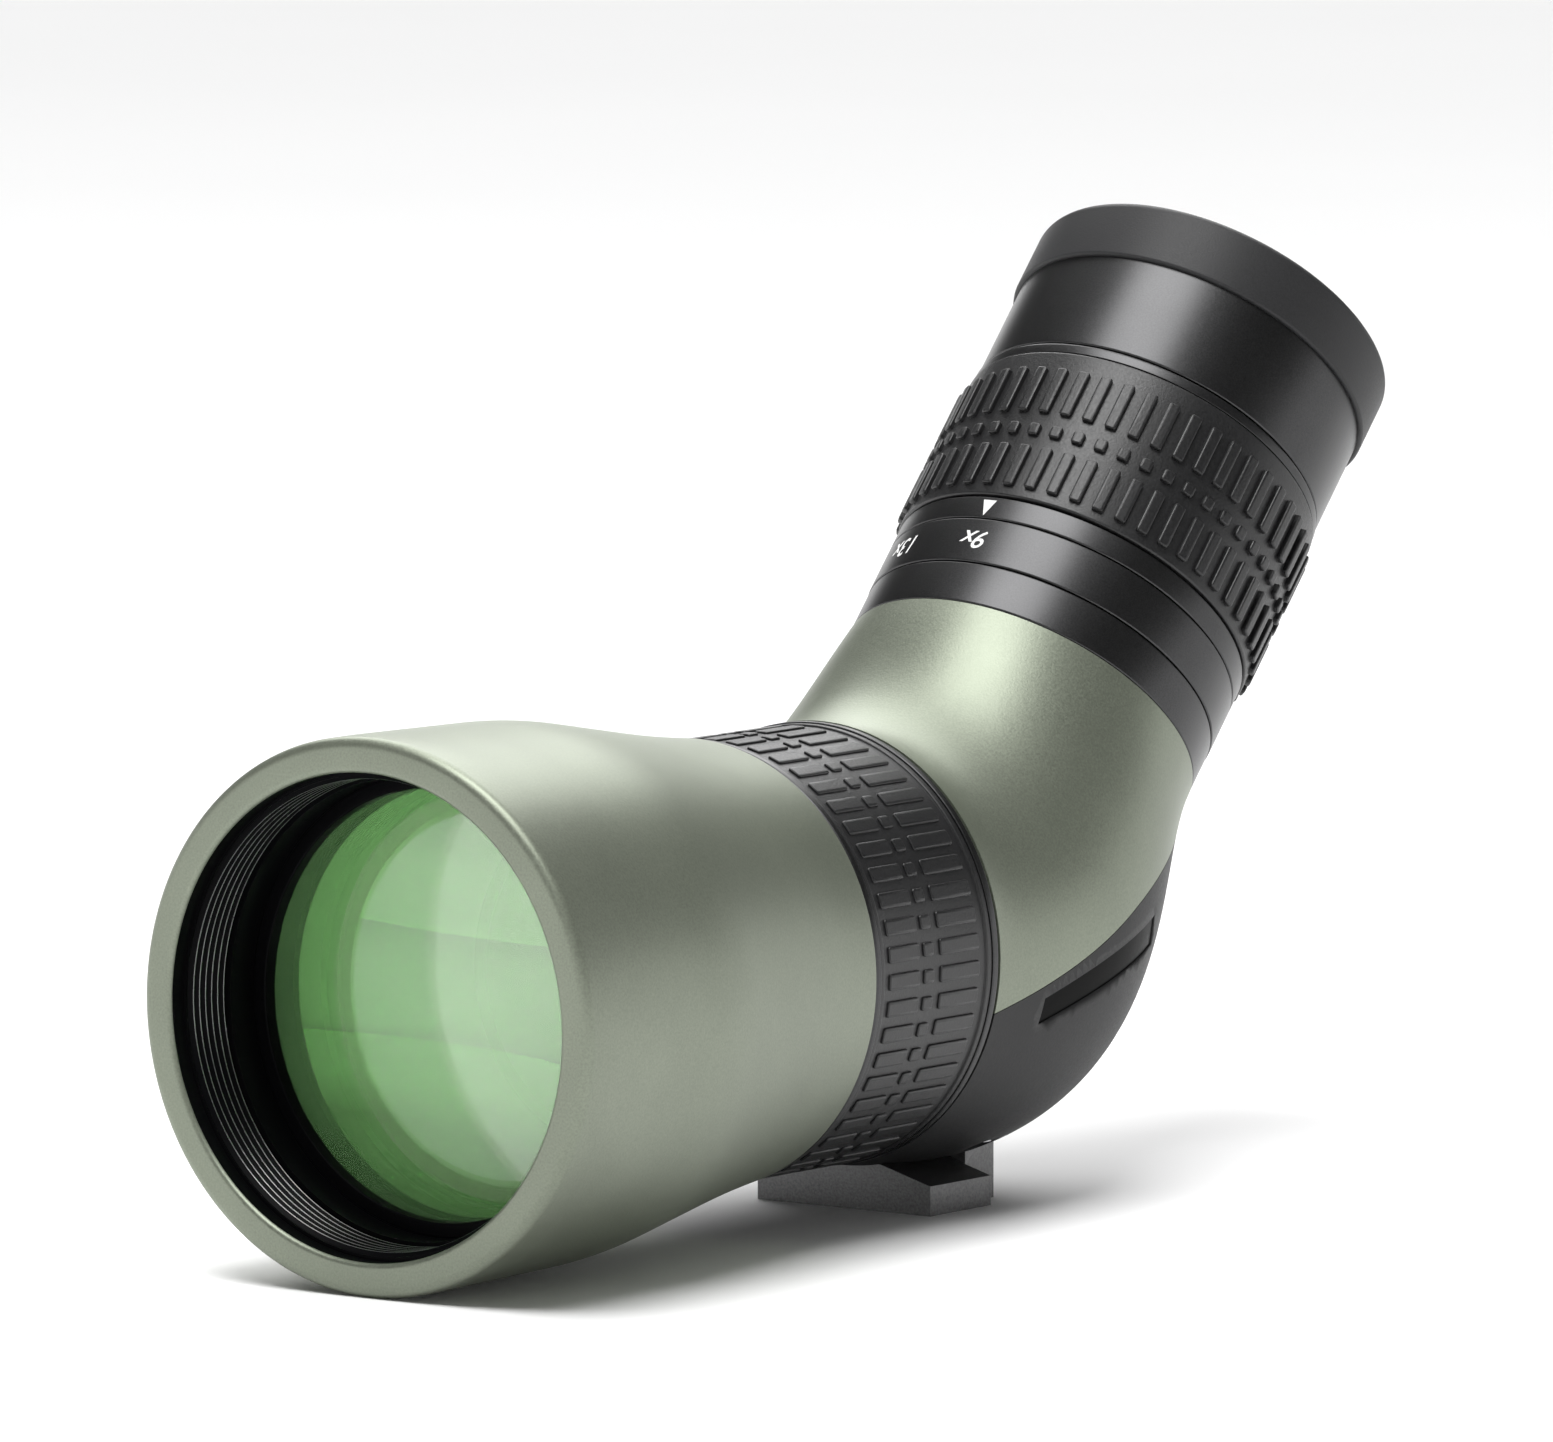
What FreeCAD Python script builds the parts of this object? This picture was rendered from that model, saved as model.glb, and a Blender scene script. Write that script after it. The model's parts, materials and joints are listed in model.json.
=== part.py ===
import FreeCAD, Part

import math
import os
import types

import Sketcher
from FreeCAD import Placement, Rotation, Vector

# Angled spotting scope: 56 mm objective, mid-body focus ring, zoom eyepiece and tripod foot.
#
# +Z is up, +Y runs from the objective towards the eyepiece, and the origin is the mouth of the
# tripod thread in the foot's bottom face.  Turned pieces are drawn in a local frame whose z axis is
# their own axis: the optical frame starts at the rim of the objective and points to the rear, and
# the eyepiece frame starts where the two axes cross and points up the eyepiece.

SIZES = {
    # layout of the two axes
    "axis_height": 36.0,
    "thread_setback": 114.0,
    "bend_station": 119.8,
    "eyepiece_tilt": 48.0,
    "running_gap": 0.05,
    # objective barrel
    "rim_radius": 36.0,
    "mouth_radius": 31.4,
    "rim_land": 6.0,
    "rim_round": 1.5,
    "mouth_round": 0.8,
    "barrel_length": 70.6,
    "barrel_end_radius": 29.65,
    "barrel_end_round": 0.3,
    "shoulder_start": 27.5,
    "shoulder_start_radius": 35.58,
    "shoulder_end": 38.8,
    "shoulder_end_radius": 34.5,
    "shoulder_curve": 75.0,
    "waist_start": 53.6,
    "waist_start_radius": 31.96,
    "waist_curve": 242.0,
    "cell_seat_station": 31.7,
    "barrel_bore": 28.6,
    "neck_station": 56.0,
    "neck_bore": 26.25,
    # shade ring in the mouth of the barrel
    "shade_front": 2.7,
    "shade_rear": 15.4,
    "shade_bore": 30.9,
    "ridge_count": 6,
    "ridge_start": 3.0,
    "ridge_pitch": 1.25,
    "ridge_height": 0.6,
    "shade_step": 1.0,
    # objective doublet and its cell
    "cell_front": 15.5,
    "cell_rear": 30.5,
    "lens_radius": 28.95,
    "lens_clear": 28.0,
    "crown_front": 17.5,
    "crown_edge": 5.0,
    "crown_front_curve": 130.0,
    "cemented_curve": 85.0,
    "lens_gap": 0.3,
    "flint_edge": 5.5,
    "flint_rear_curve": 400.0,
    "cell_lip": 27.9,
    "retainer_radius": 29.85,
    "seal_groove": 30.2,
    "seal_station": 23.1,
    "seal_section": 0.56,
    # light baffle
    "baffle_front_radius": 28.2,
    "baffle_rear_radius": 24.2,
    "baffle_rear": 54.6,
    "baffle_wall": 0.8,
    "baffle_stop": 21.5,
    # centre tube
    "tube_bore": 24.6,
    "tube_neck": 26.2,
    "tube_radius": 26.6,
    "tube_step": 70.9,
    "tube_end": 106.0,
    "tube_groove": 25.7,
    "tube_seal_inset": 2.5,
    "tube_seal_section": 0.42,
    # focus ring and grip
    "focus_front": 70.8,
    "focus_rear": 98.1,
    "focus_flange_radius": 29.5,
    "focus_front_flange": 1.1,
    "focus_rear_flange": 1.3,
    "focus_seat_radius": 27.95,
    "focus_relief_radius": 27.3,
    "grip_radius": 29.3,
    # focusing cell
    "focus_cell_front": 78.0,
    "focus_cell_length": 12.0,
    "focus_travel": 6.0,
    "focus_lens_radius": 21.05,
    "focus_lens_clear": 19.6,
    "focus_lens_front_curve": 70.0,
    "focus_lens_rear_curve": 90.0,
    "focus_lens_front": 80.5,
    "focus_lens_rear": 88.2,
    "pin_radius": 1.2,
    # prism housing and cover
    "housing_front": 98.3,
    "housing_top": 35.8,
    "housing_wall": 2.2,
    "housing_top_bore": 21.5,
    "front_bore_depth": 13.7,
    "parting_gap": 0.12,
    # prism and holder
    "prism_reach": 7.0,
    "prism_face": 32.0,
    "prism_half_width": 10.5,
    "holder_half_width": 14.0,
    "holder_front": 10.2,
    "holder_top": 7.66,
    "clamp_thickness": 0.8,
    # foot
    "foot_half_width": 14.2,
    "foot_front": 103.8,
    "foot_bar_length": 13.7,
    "foot_bar_height": 4.0,
    "foot_tail_half_width": 10.0,
    "foot_tail_end": 124.0,
    "foot_neck_half_width": 5.0,
    "insert_radius": 4.4,
    "insert_length": 4.8,
    "thread_radius": 2.55,
    # eyepiece, measured up its own axis from the crossing of the axes
    "mount_bottom": 29.0,
    "mount_bore": 20.4,
    "mount_neck": 21.45,
    "mount_flange_bottom": 35.95,
    "mount_flange_top": 42.3,
    "mount_top": 49.5,
    "collar_radius": 25.2,
    "scale_radius": 25.3,
    "scale_bottom": 42.4,
    "scale_top": 49.45,
    "nose_bottom": 40.0,
    "nose_radius": 20.35,
    "nose_bore": 18.95,
    "inner_barrel_radius": 23.2,
    "inner_barrel_bore": 20.7,
    "inner_barrel_bottom": 49.55,
    "inner_barrel_top": 93.0,
    "guide_radius": 18.9,
    "guide_bore": 17.6,
    "guide_bottom": 41.0,
    "guide_top": 84.3,
    "cam_radius": 20.65,
    "cam_bottom": 50.8,
    "cam_top": 84.2,
    "cam_relief": 19.9,
    "zoom_bottom": 49.6,
    "zoom_band_top": 53.3,
    "zoom_lip_bottom": 77.6,
    "zoom_top": 79.2,
    "zoom_seat_radius": 24.6,
    "zoom_lip_radius": 25.35,
    "zoom_grip_radius": 26.3,
    "zoom_turn": 110.0,
    "drive_station": 66.0,
    "drive_radius": 1.3,
    "zoom_cell_radius": 17.55,
    "zoom_lens_radius": 15.05,
    "zoom_lens_clear": 14.0,
    "zoom_cell_length": 8.0,
    "front_cell_bottom": 56.0,
    "rear_cell_bottom": 68.0,
    "zoom_travel": 6.0,
    "eye_cell_bottom": 84.6,
    "eye_cell_top": 94.4,
    "eye_cell_flange": 22.9,
    "eye_lens_radius": 17.05,
    "eye_lens_clear": 16.0,
    # twist-up eyecup
    "cup_bottom": 79.4,
    "cup_rubber_bottom": 94.15,
    "cup_top": 103.3,
    "cup_sleeve_radius": 25.15,
    "cup_seat_radius": 24.5,
    "cup_rubber_radius": 25.8,
    "cup_opening": 19.5,
    "cup_travel": 8.0,
    "cup_ring_bottom": 82.25,
    "cup_ring_length": 3.0,
    "cup_ring_radius": 23.9,
    "cup_pin_station": 80.7,
    "cup_pin_radius": 0.9,
}

# Sections of the elbow-shaped prism housing, on planes that fan about a line above its front.
# Each row is: angle of the plane, half depth, half width, and distance of the centre from the line.
ELBOW_SECTIONS = (
    (0.0, 29.50, 29.50, 67.50),
    (12.0, 30.50, 30.00, 70.00),
    (24.0, 31.00, 30.00, 69.00),
    (36.0, 27.75, 27.75, 64.00),
    (48.0, 25.25, 25.25, 61.15),
)
CAVITY_END_ANGLES = (5.0, 43.5)


class Dim:
    """A length that knows both its value and the sheet expression that gives it."""

    def __init__(self, value, text=None):
        self.value = float(value)
        self.text = text or repr(float(value))

    def _joined(self, other, sign, value):
        return Dim(value, "(%s %s %s)" % (self.text, sign, other.text))

    def __add__(self, other):
        other = as_dim(other)
        return self._joined(other, "+", self.value + other.value)

    def __radd__(self, other):
        return as_dim(other) + self

    def __sub__(self, other):
        other = as_dim(other)
        return self._joined(other, "-", self.value - other.value)

    def __rsub__(self, other):
        return as_dim(other) - self

    def __mul__(self, other):
        other = as_dim(other)
        return self._joined(other, "*", self.value * other.value)

    def __rmul__(self, other):
        return as_dim(other) * self

    def __truediv__(self, other):
        other = as_dim(other)
        return self._joined(other, "/", self.value / other.value)

    def __neg__(self):
        return as_dim(0.0) - self


def as_dim(number):
    return number if isinstance(number, Dim) else Dim(number)


def sine(angle):
    return Dim(math.sin(math.radians(angle.value)), "sin(%s)" % angle.text)


def cosine(angle):
    return Dim(math.cos(math.radians(angle.value)), "cos(%s)" % angle.text)


def root(square):
    return Dim(math.sqrt(square.value), "sqrt(%s)" % square.text)


def sag(curve, aperture):
    """Depth of a spherical surface of radius curve over an aperture radius."""
    return curve - root(curve * curve - aperture * aperture)


doc = FreeCAD.newDocument("spotting_scope")
sheet = doc.addObject("Spreadsheet::Sheet", "Sizes")
for row, (alias, number) in enumerate(SIZES.items(), start=1):
    sheet.set("A%d" % row, alias)
    sheet.set("B%d" % row, str(number))
    sheet.setAlias("B%d" % row, alias)
for index, section in enumerate(ELBOW_SECTIONS):
    for column, kind, number in zip("DEF", ("depth", "width", "reach"), section[1:]):
        sheet.set("%s%d" % (column, index + 1), str(number))
        sheet.setAlias("%s%d" % (column, index + 1), "elbow_%s_%s" % (kind, "abcde"[index]))
doc.recompute()

d = types.SimpleNamespace(**{name: Dim(number, "Sizes." + name) for name, number in SIZES.items()})
gap = d.running_gap

OPTICAL = Placement(Vector(0, -SIZES["thread_setback"], SIZES["axis_height"]),
                    Rotation(Vector(1, 0, 0), -90))
CROSSING = Vector(0, SIZES["bend_station"] - SIZES["thread_setback"], SIZES["axis_height"])
EYEPIECE = Placement(CROSSING, Rotation(Vector(1, 0, 0), SIZES["eyepiece_tilt"] - 90))
UPRIGHT = Placement(CROSSING, Rotation())
NODES = {}


def bind(target, prop, dim):
    """Give a property its value, and the sheet expression when it has one."""
    dim = as_dim(dim)
    setattr(target, prop, dim.value)
    target.setExpression(prop, dim.text)


def node(label, shape_object):
    shape_object.Label = label
    NODES[label] = shape_object
    return shape_object


def new_body(label, frame):
    body = doc.addObject("PartDesign::Body", label)
    body.Placement = frame
    return body


def new_sketch(body, name, role):
    sketch = body.newObject("Sketcher::SketchObject", name)
    plane = [item for item in body.Origin.OriginFeatures if item.Role == role][0]
    sketch.AttachmentSupport = [(plane, "")]
    sketch.MapMode = "FlatFace"
    return sketch


def arc_between(start, end, radius, bulge):
    """Arc from start to end whose middle is pushed to the left (+1) or right (-1) of the chord."""
    chord = end - start
    half = chord.Length / 2
    left = Vector(-chord.y, chord.x, 0).normalize()
    centre = start + chord * 0.5 - left * bulge * math.sqrt(radius ** 2 - half ** 2)
    middle = centre + left * bulge * radius
    return Part.Arc(start, middle, end)


def draw_outline(sketch, outline):
    """Closed outline of bound points.  A point may carry (radius, bulge) for the edge after it."""
    points = [tuple(as_dim(value) for value in point[:2]) for point in outline]
    places = [Vector(x.value, y.value, 0) for x, y in points]
    pins = []
    for index, point in enumerate(outline):
        here, there = places[index], places[(index + 1) % len(places)]
        if len(point) > 2:
            radius, bulge = point[2]
            sketch.addGeometry(arc_between(here, there, radius.value, bulge))
            # arcs are stored anticlockwise, so an arc that bulges left is stored from its end
            pins.append((2, 1) if bulge > 0 else (1, 2))
        else:
            sketch.addGeometry(Part.LineSegment(here, there))
            pins.append((1, 2))
    constraints, bound = [], []
    for index, (x, y) in enumerate(points):
        before = (index - 1) % len(points)
        constraints.append(Sketcher.Constraint("Coincident", before, pins[before][1],
                                               index, pins[index][0]))
        for kind, value, own_axis in (("DistanceX", x, -2), ("DistanceY", y, -1)):
            if value.value == 0:
                constraints.append(Sketcher.Constraint("PointOnObject", index, pins[index][0], own_axis))
            else:
                bound.append((len(constraints), value.text))
                constraints.append(Sketcher.Constraint(kind, -1, 1, index, pins[index][0], value.value))
    for index, point in enumerate(outline):
        if len(point) > 2:
            bound.append((len(constraints), point[2][0].text))
            constraints.append(Sketcher.Constraint("Radius", index, point[2][0].value))
    sketch.addConstraint(constraints)
    for place, text in bound:
        sketch.setExpression("Constraints[%d]" % place, text)


def spin(body, outline, name="turning"):
    """Full revolution of an outline of (radius, station) points about the body's z axis."""
    sketch = new_sketch(body, name + "_outline", "XZ_Plane")
    draw_outline(sketch, outline)
    feature = body.newObject("PartDesign::Revolution", name)
    feature.Profile = sketch
    feature.ReferenceAxis = (sketch, ["V_Axis"])
    feature.Angle = 360.0
    doc.recompute()
    return feature


def round_rings(body, radius, rings):
    """Fillet the circular edges that lie at the given (radius, station) pairs."""
    base = body.Tip
    wanted = [(as_dim(r).value, as_dim(z).value) for r, z in rings]
    names = []
    for number, edge in enumerate(base.Shape.Edges, start=1):
        if not isinstance(edge.Curve, Part.Circle):
            continue
        centre = edge.Curve.Center
        if any(abs(edge.Curve.Radius - r) < 1e-4 and abs(centre.z - z) < 1e-4 for r, z in wanted):
            names.append("Edge%d" % number)
    feature = body.newObject("PartDesign::Fillet", "rounding")
    feature.Base = (base, names)
    bind(feature, "Radius", radius)
    doc.recompute()


def turned(label, frame, outline, rounds=()):
    body = new_body(label, frame)
    spin(body, outline)
    for radius, rings in rounds:
        round_rings(body, radius, rings)
    return node(label, body)


def washer(inner, outer, low, high):
    return [(inner, low), (outer, low), (outer, high), (inner, high)]


def lens(label, frame, radius, clear, low, high, low_curve=None, high_curve=None,
         low_out=True, high_out=True):
    """Lens between two flat rims.  A surface with a curve is domed outwards, or hollow if not out."""
    low_depth = sag(low_curve, clear) if low_curve else as_dim(0)
    high_depth = sag(high_curve, clear) if high_curve else as_dim(0)
    bottom = low - low_depth if low_out else low + low_depth
    top = high + high_depth if high_out else high - high_depth
    start = (0, bottom, (low_curve, -1 if low_out else 1)) if low_curve else (0, bottom)
    outline = [start]
    if low_curve:
        outline.append((clear, low))
    outline += [(radius, low), (radius, high)]
    if high_curve:
        outline.append((clear, high, (high_curve, -1 if high_out else 1)))
    outline.append((0, top))
    return turned(label, frame, outline)


def cut_sideways(body, name, outline_or_circle, half_width=None):
    """Pocket a YZ drawing through the body, both ways along x, or only half_width each way."""
    sketch = new_sketch(body, name + "_outline", "YZ_Plane")
    if isinstance(outline_or_circle, tuple):
        station, radius = outline_or_circle
        sketch.addGeometry(Part.Circle(Vector(0, station.value, 0), Vector(0, 0, 1), radius.value))
        sketch.addConstraint([Sketcher.Constraint("PointOnObject", 0, 3, -2),
                              Sketcher.Constraint("DistanceY", -1, 1, 0, 3, station.value),
                              Sketcher.Constraint("Radius", 0, radius.value)])
        sketch.setExpression("Constraints[1]", station.text)
        sketch.setExpression("Constraints[2]", radius.text)
    else:
        draw_outline(sketch, outline_or_circle)
    before = body.Shape.Volume
    pocket = body.newObject("PartDesign::Pocket", name)
    pocket.Profile = sketch
    pocket.SideType = "Symmetric"
    if half_width is None:
        pocket.Type = "ThroughAll"
    else:
        bind(pocket, "Length", half_width * 2)
    doc.recompute()
    if body.Shape.Volume > before - 1e-3:
        raise RuntimeError("pocket %s cut nothing" % name)
    return pocket


def cut_one_side(body, name, station, radius, reach=None, count=1):
    """Radial hole from the axis outwards along +x, through or to a reach, repeated around."""
    sketch = new_sketch(body, name + "_circle", "YZ_Plane")
    sketch.addGeometry(Part.Circle(Vector(0, station.value, 0), Vector(0, 0, 1), radius.value))
    sketch.addConstraint([Sketcher.Constraint("PointOnObject", 0, 3, -2),
                          Sketcher.Constraint("DistanceY", -1, 1, 0, 3, station.value),
                          Sketcher.Constraint("Radius", 0, radius.value)])
    sketch.setExpression("Constraints[1]", station.text)
    sketch.setExpression("Constraints[2]", radius.text)
    pocket = body.newObject("PartDesign::Pocket", name)
    pocket.Profile = sketch
    pocket.Reversed = True
    if reach is None:
        pocket.Type = "ThroughAll"
    else:
        bind(pocket, "Length", reach)
    doc.recompute()
    if count > 1:
        pattern = body.newObject("PartDesign::PolarPattern", name + "_around")
        pattern.Originals = [pocket]
        pattern.Axis = ([item for item in body.Origin.OriginFeatures if item.Role == "Z_Axis"][0], [""])
        pattern.Angle = 360.0
        pattern.Occurrences = count
        body.Tip = pattern
        doc.recompute()


def slot(half_width, low, high):
    """Outline in the YZ plane of a straight slot along the axis."""
    return [(-half_width, low), (half_width, low), (half_width, high), (-half_width, high)]


def rod(name, radius, length, base, direction=Vector(0, 0, 1)):
    """Part cylinder with bound sizes, from a base point along a direction."""
    item = doc.addObject("Part::Cylinder", name)
    bind(item, "Radius", radius)
    bind(item, "Height", length)
    item.Placement = Placement(base, Rotation(Vector(0, 0, 1), direction))
    return item


def joined(name, kind, parts):
    item = doc.addObject(kind, name)
    if kind == "Part::Compound":
        item.Links = parts
    elif kind in ("Part::MultiFuse", "Part::MultiCommon"):
        item.Shapes = parts
    else:
        item.Base, item.Tool = parts
    return item


def pins_along_x(label, frame, inner, outer, station, radius):
    """Pair of pins that stand out on both sides of an axis, in line with x."""
    pair = []
    for side in (1, -1):
        base = frame.multVec(Vector(side * inner.value, 0, station.value))
        direction = frame.Rotation.multVec(Vector(side, 0, 0))
        pair.append(rod("%s_%s" % (label, "right" if side > 0 else "left"), radius,
                        outer - inner, base, direction))
    return node(label, joined(label, "Part::Compound", pair))


def screw_solid(name, head_radius, head_length, shank_radius, shank_length, base, direction, across):
    """Cap screw with a hexagon socket: base is the middle of the outer face of its head."""
    head = rod(name + "_head", head_radius, head_length, base, direction)
    shank = rod(name + "_shank", shank_radius, head_length + shank_length, base, direction)
    whole = joined(name + "_solid", "Part::MultiFuse", [head, shank])
    socket = doc.addObject("Part::Prism", name + "_socket")
    socket.Polygon = 6
    bind(socket, "Circumradius", across)
    bind(socket, "Height", head_length * 0.6)
    socket.Placement = Placement(base, Rotation(Vector(0, 0, 1), direction))
    return joined(name, "Part::Cut", [whole, socket])


def in_crossing_frame(y, z, x=0.0):
    return CROSSING + Vector(x, y, z)


# ---------------------------------------------------------------- objective end
def make_objective_barrel():
    outline = [(d.mouth_radius, 0), (d.rim_radius, 0), (d.rim_radius, d.rim_land),
               (d.shoulder_start_radius, d.shoulder_start, (d.shoulder_curve, -1)),
               (d.shoulder_end_radius, d.shoulder_end),
               (d.waist_start_radius, d.waist_start, (d.waist_curve, 1)),
               (d.barrel_end_radius, d.barrel_length),
               (d.neck_bore, d.barrel_length), (d.neck_bore, d.neck_station),
               (d.barrel_bore, d.neck_station), (d.barrel_bore, d.cell_seat_station),
               (d.mouth_radius, d.cell_seat_station)]
    rounds = [(d.rim_round, [(d.rim_radius, 0)]),
              (d.mouth_round, [(d.mouth_radius, 0)]),
              (d.barrel_end_round, [(d.barrel_end_radius, d.barrel_length)])]
    turned("objective_barrel", OPTICAL, outline, rounds)


def make_shade_ring():
    outer = d.mouth_radius - gap
    outline = [(outer, d.shade_front), (outer, d.shade_rear),
               (d.shade_bore - d.shade_step, d.shade_rear)]
    last_ridge = d.ridge_start + d.ridge_pitch * d.ridge_count
    outline += [(d.shade_bore - d.shade_step, last_ridge), (d.shade_bore, last_ridge)]
    for number in reversed(range(SIZES["ridge_count"])):
        foot = d.ridge_start + d.ridge_pitch * number
        outline += [(d.shade_bore - d.ridge_height, foot + d.ridge_pitch * 0.5), (d.shade_bore, foot)]
    outline.append((d.shade_bore, d.shade_front))
    turned("shade_ring", OPTICAL, outline)


def make_objective_group():
    outer = d.mouth_radius - gap
    seat = d.lens_radius + gap
    crown_rear = d.crown_front + d.crown_edge
    flint_front = crown_rear + d.lens_gap
    flint_rear = flint_front + d.flint_edge
    groove_low = d.seal_station - 0.7
    groove_high = d.seal_station + 0.7
    ring_bore = d.retainer_radius + gap
    turned("objective_cell", OPTICAL, [
        (ring_bore, d.cell_front), (outer, d.cell_front), (outer, groove_low),
        (d.seal_groove, groove_low), (d.seal_groove, groove_high), (outer, groove_high),
        (outer, d.cell_rear), (d.cell_lip, d.cell_rear), (d.cell_lip, flint_rear),
        (seat, flint_rear), (seat, d.crown_front), (ring_bore, d.crown_front)])
    turned("objective_retaining_ring", OPTICAL,
           washer(d.lens_clear, d.retainer_radius, d.cell_front, d.crown_front))
    cut_sideways(NODES["objective_retaining_ring"], "spanner_slots",
                 slot(Dim(0.9), d.cell_front, d.cell_front + 1.0))
    lens("crown_lens", OPTICAL, d.lens_radius, d.lens_clear, d.crown_front, crown_rear,
         d.crown_front_curve, d.cemented_curve)
    turned("lens_spacer", OPTICAL, washer(d.lens_clear + 0.1, d.lens_radius, crown_rear, flint_front))
    lens("flint_lens", OPTICAL, d.lens_radius, d.lens_clear - 0.2, flint_front, flint_rear,
         d.cemented_curve, d.flint_rear_curve, low_out=False)
    seal = doc.addObject("Part::Torus", "objective_seal")
    bind(seal, "Radius1", d.seal_groove + d.seal_section + 0.02)
    bind(seal, "Radius2", d.seal_section)
    seal.Placement = OPTICAL.multiply(Placement(Vector(0, 0, SIZES["seal_station"]), Rotation()))
    node("objective_seal", seal)


def make_light_baffle():
    outer = d.mouth_radius - gap
    stop_face = d.baffle_rear - d.baffle_wall
    turned("light_baffle", OPTICAL, [
        (d.baffle_front_radius - d.baffle_wall, d.cell_rear), (outer, d.cell_rear),
        (outer, d.cell_seat_station), (d.baffle_front_radius, d.cell_seat_station),
        (d.baffle_rear_radius, d.baffle_rear), (d.baffle_stop, d.baffle_rear),
        (d.baffle_stop, stop_face), (d.baffle_rear_radius - d.baffle_wall, stop_face)])


# ---------------------------------------------------------------- focusing
def make_centre_tube():
    front_seal = d.tube_step + d.tube_seal_inset
    rear_seal = d.focus_rear - d.tube_seal_inset
    outline = [(d.tube_bore, d.neck_station), (d.tube_neck, d.neck_station), (d.tube_neck, d.tube_step)]
    outline.append((d.tube_radius, d.tube_step))
    for station in (front_seal, rear_seal):
        low, high = station - 0.55, station + 0.55
        outline += [(d.tube_radius, low), (d.tube_groove, low), (d.tube_groove, high),
                    (d.tube_radius, high)]
    outline += [(d.tube_radius, d.tube_end), (d.tube_bore, d.tube_end)]
    tube = turned("centre_tube", OPTICAL, outline)
    middle = d.focus_cell_front + d.focus_cell_length / 2
    reach = d.focus_travel + d.pin_radius + gap
    cut_sideways(tube, "pin_slots", slot(d.pin_radius + gap, middle - reach, middle + reach))
    seals = []
    for name, station in (("front", front_seal), ("rear", rear_seal)):
        seal = doc.addObject("Part::Torus", "tube_seal_" + name)
        bind(seal, "Radius1", d.tube_groove + d.tube_seal_section + 0.03)
        bind(seal, "Radius2", d.tube_seal_section)
        seal.Placement = OPTICAL.multiply(Placement(Vector(0, 0, station.value), Rotation()))
        seals.append(seal)
    node("focus_ring_seals", joined("focus_ring_seals", "Part::Compound", seals))


def make_focus_ring():
    bore = d.tube_radius + gap
    front_seat = d.focus_front + d.focus_front_flange
    rear_seat = d.focus_rear - d.focus_rear_flange
    middle = d.focus_cell_front + d.focus_cell_length / 2
    reach = d.focus_travel + d.pin_radius + 0.2
    outline = [(bore, d.focus_front), (d.focus_flange_radius, d.focus_front),
               (d.focus_flange_radius, front_seat), (d.focus_seat_radius, front_seat),
               (d.focus_seat_radius, rear_seat), (d.focus_flange_radius, rear_seat),
               (d.focus_flange_radius, d.focus_rear), (bore, d.focus_rear),
               (bore, middle + reach), (d.focus_relief_radius, middle + reach),
               (d.focus_relief_radius, middle - reach), (bore, middle - reach)]
    turned("focus_ring", OPTICAL, outline,
           [(as_dim(0.45), [(d.focus_flange_radius, d.focus_front), (d.focus_flange_radius, d.focus_rear)])])
    turned("focus_grip", OPTICAL, washer(d.focus_seat_radius, d.grip_radius, front_seat, rear_seat))


def make_focus_cell():
    rear = d.focus_cell_front + d.focus_cell_length
    middle = d.focus_cell_front + d.focus_cell_length / 2
    outer = d.tube_bore - gap
    seat = d.focus_lens_radius + gap
    cell = turned("focus_cell", OPTICAL, [
        (seat, d.focus_cell_front), (outer, d.focus_cell_front), (outer, rear),
        (d.focus_lens_clear, rear), (d.focus_lens_clear, d.focus_lens_rear), (seat, d.focus_lens_rear)])
    cut_sideways(cell, "pin_holes", (middle, d.pin_radius))
    lens("focus_lens", OPTICAL, d.focus_lens_radius, d.focus_lens_clear, d.focus_lens_front,
         d.focus_lens_rear, d.focus_lens_front_curve, d.focus_lens_rear_curve,
         low_out=False, high_out=False)
    turned("focus_lens_ring", OPTICAL,
           washer(d.focus_lens_clear, d.focus_lens_radius, d.focus_cell_front + 0.4, d.focus_lens_front))
    pins_along_x("focus_pins", OPTICAL, seat + 0.4, d.focus_relief_radius - 0.1, middle, d.pin_radius)


# ---------------------------------------------------------------- prism housing
def elbow_ring(name, angle, depth, width, reach, shift):
    """Ellipse on one of the planes that fan about the elbow's line, shifted towards -x."""
    line = Vector(0, SIZES["housing_front"] - SIZES["thread_setback"], elbow_line_height())
    up = Vector(0, -math.sin(math.radians(angle)), math.cos(math.radians(angle)))
    across = Vector(1, 0, 0)
    ring = doc.addObject("Part::Ellipse", name)
    bind(ring, "MajorRadius", depth)
    bind(ring, "MinorRadius", width)
    ring.Placement = Placement(line - up * reach.value - across * shift,
                               Rotation(up, across, up.cross(across), "XYZ"))
    return ring


def elbow_line_height():
    """Height of the line where the housing's front plane and its top plane meet."""
    tilt = math.radians(SIZES["eyepiece_tilt"])
    forward = SIZES["bend_station"] - SIZES["housing_front"]
    return SIZES["axis_height"] + (SIZES["housing_top"] + forward * math.cos(tilt)) / math.sin(tilt)


def elbow_section(index):
    names = ["elbow_%s_%s" % (kind, "abcde"[index]) for kind in ("depth", "width", "reach")]
    return [Dim(number, "Sizes." + name) for number, name in zip(ELBOW_SECTIONS[index][1:], names)]


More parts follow.
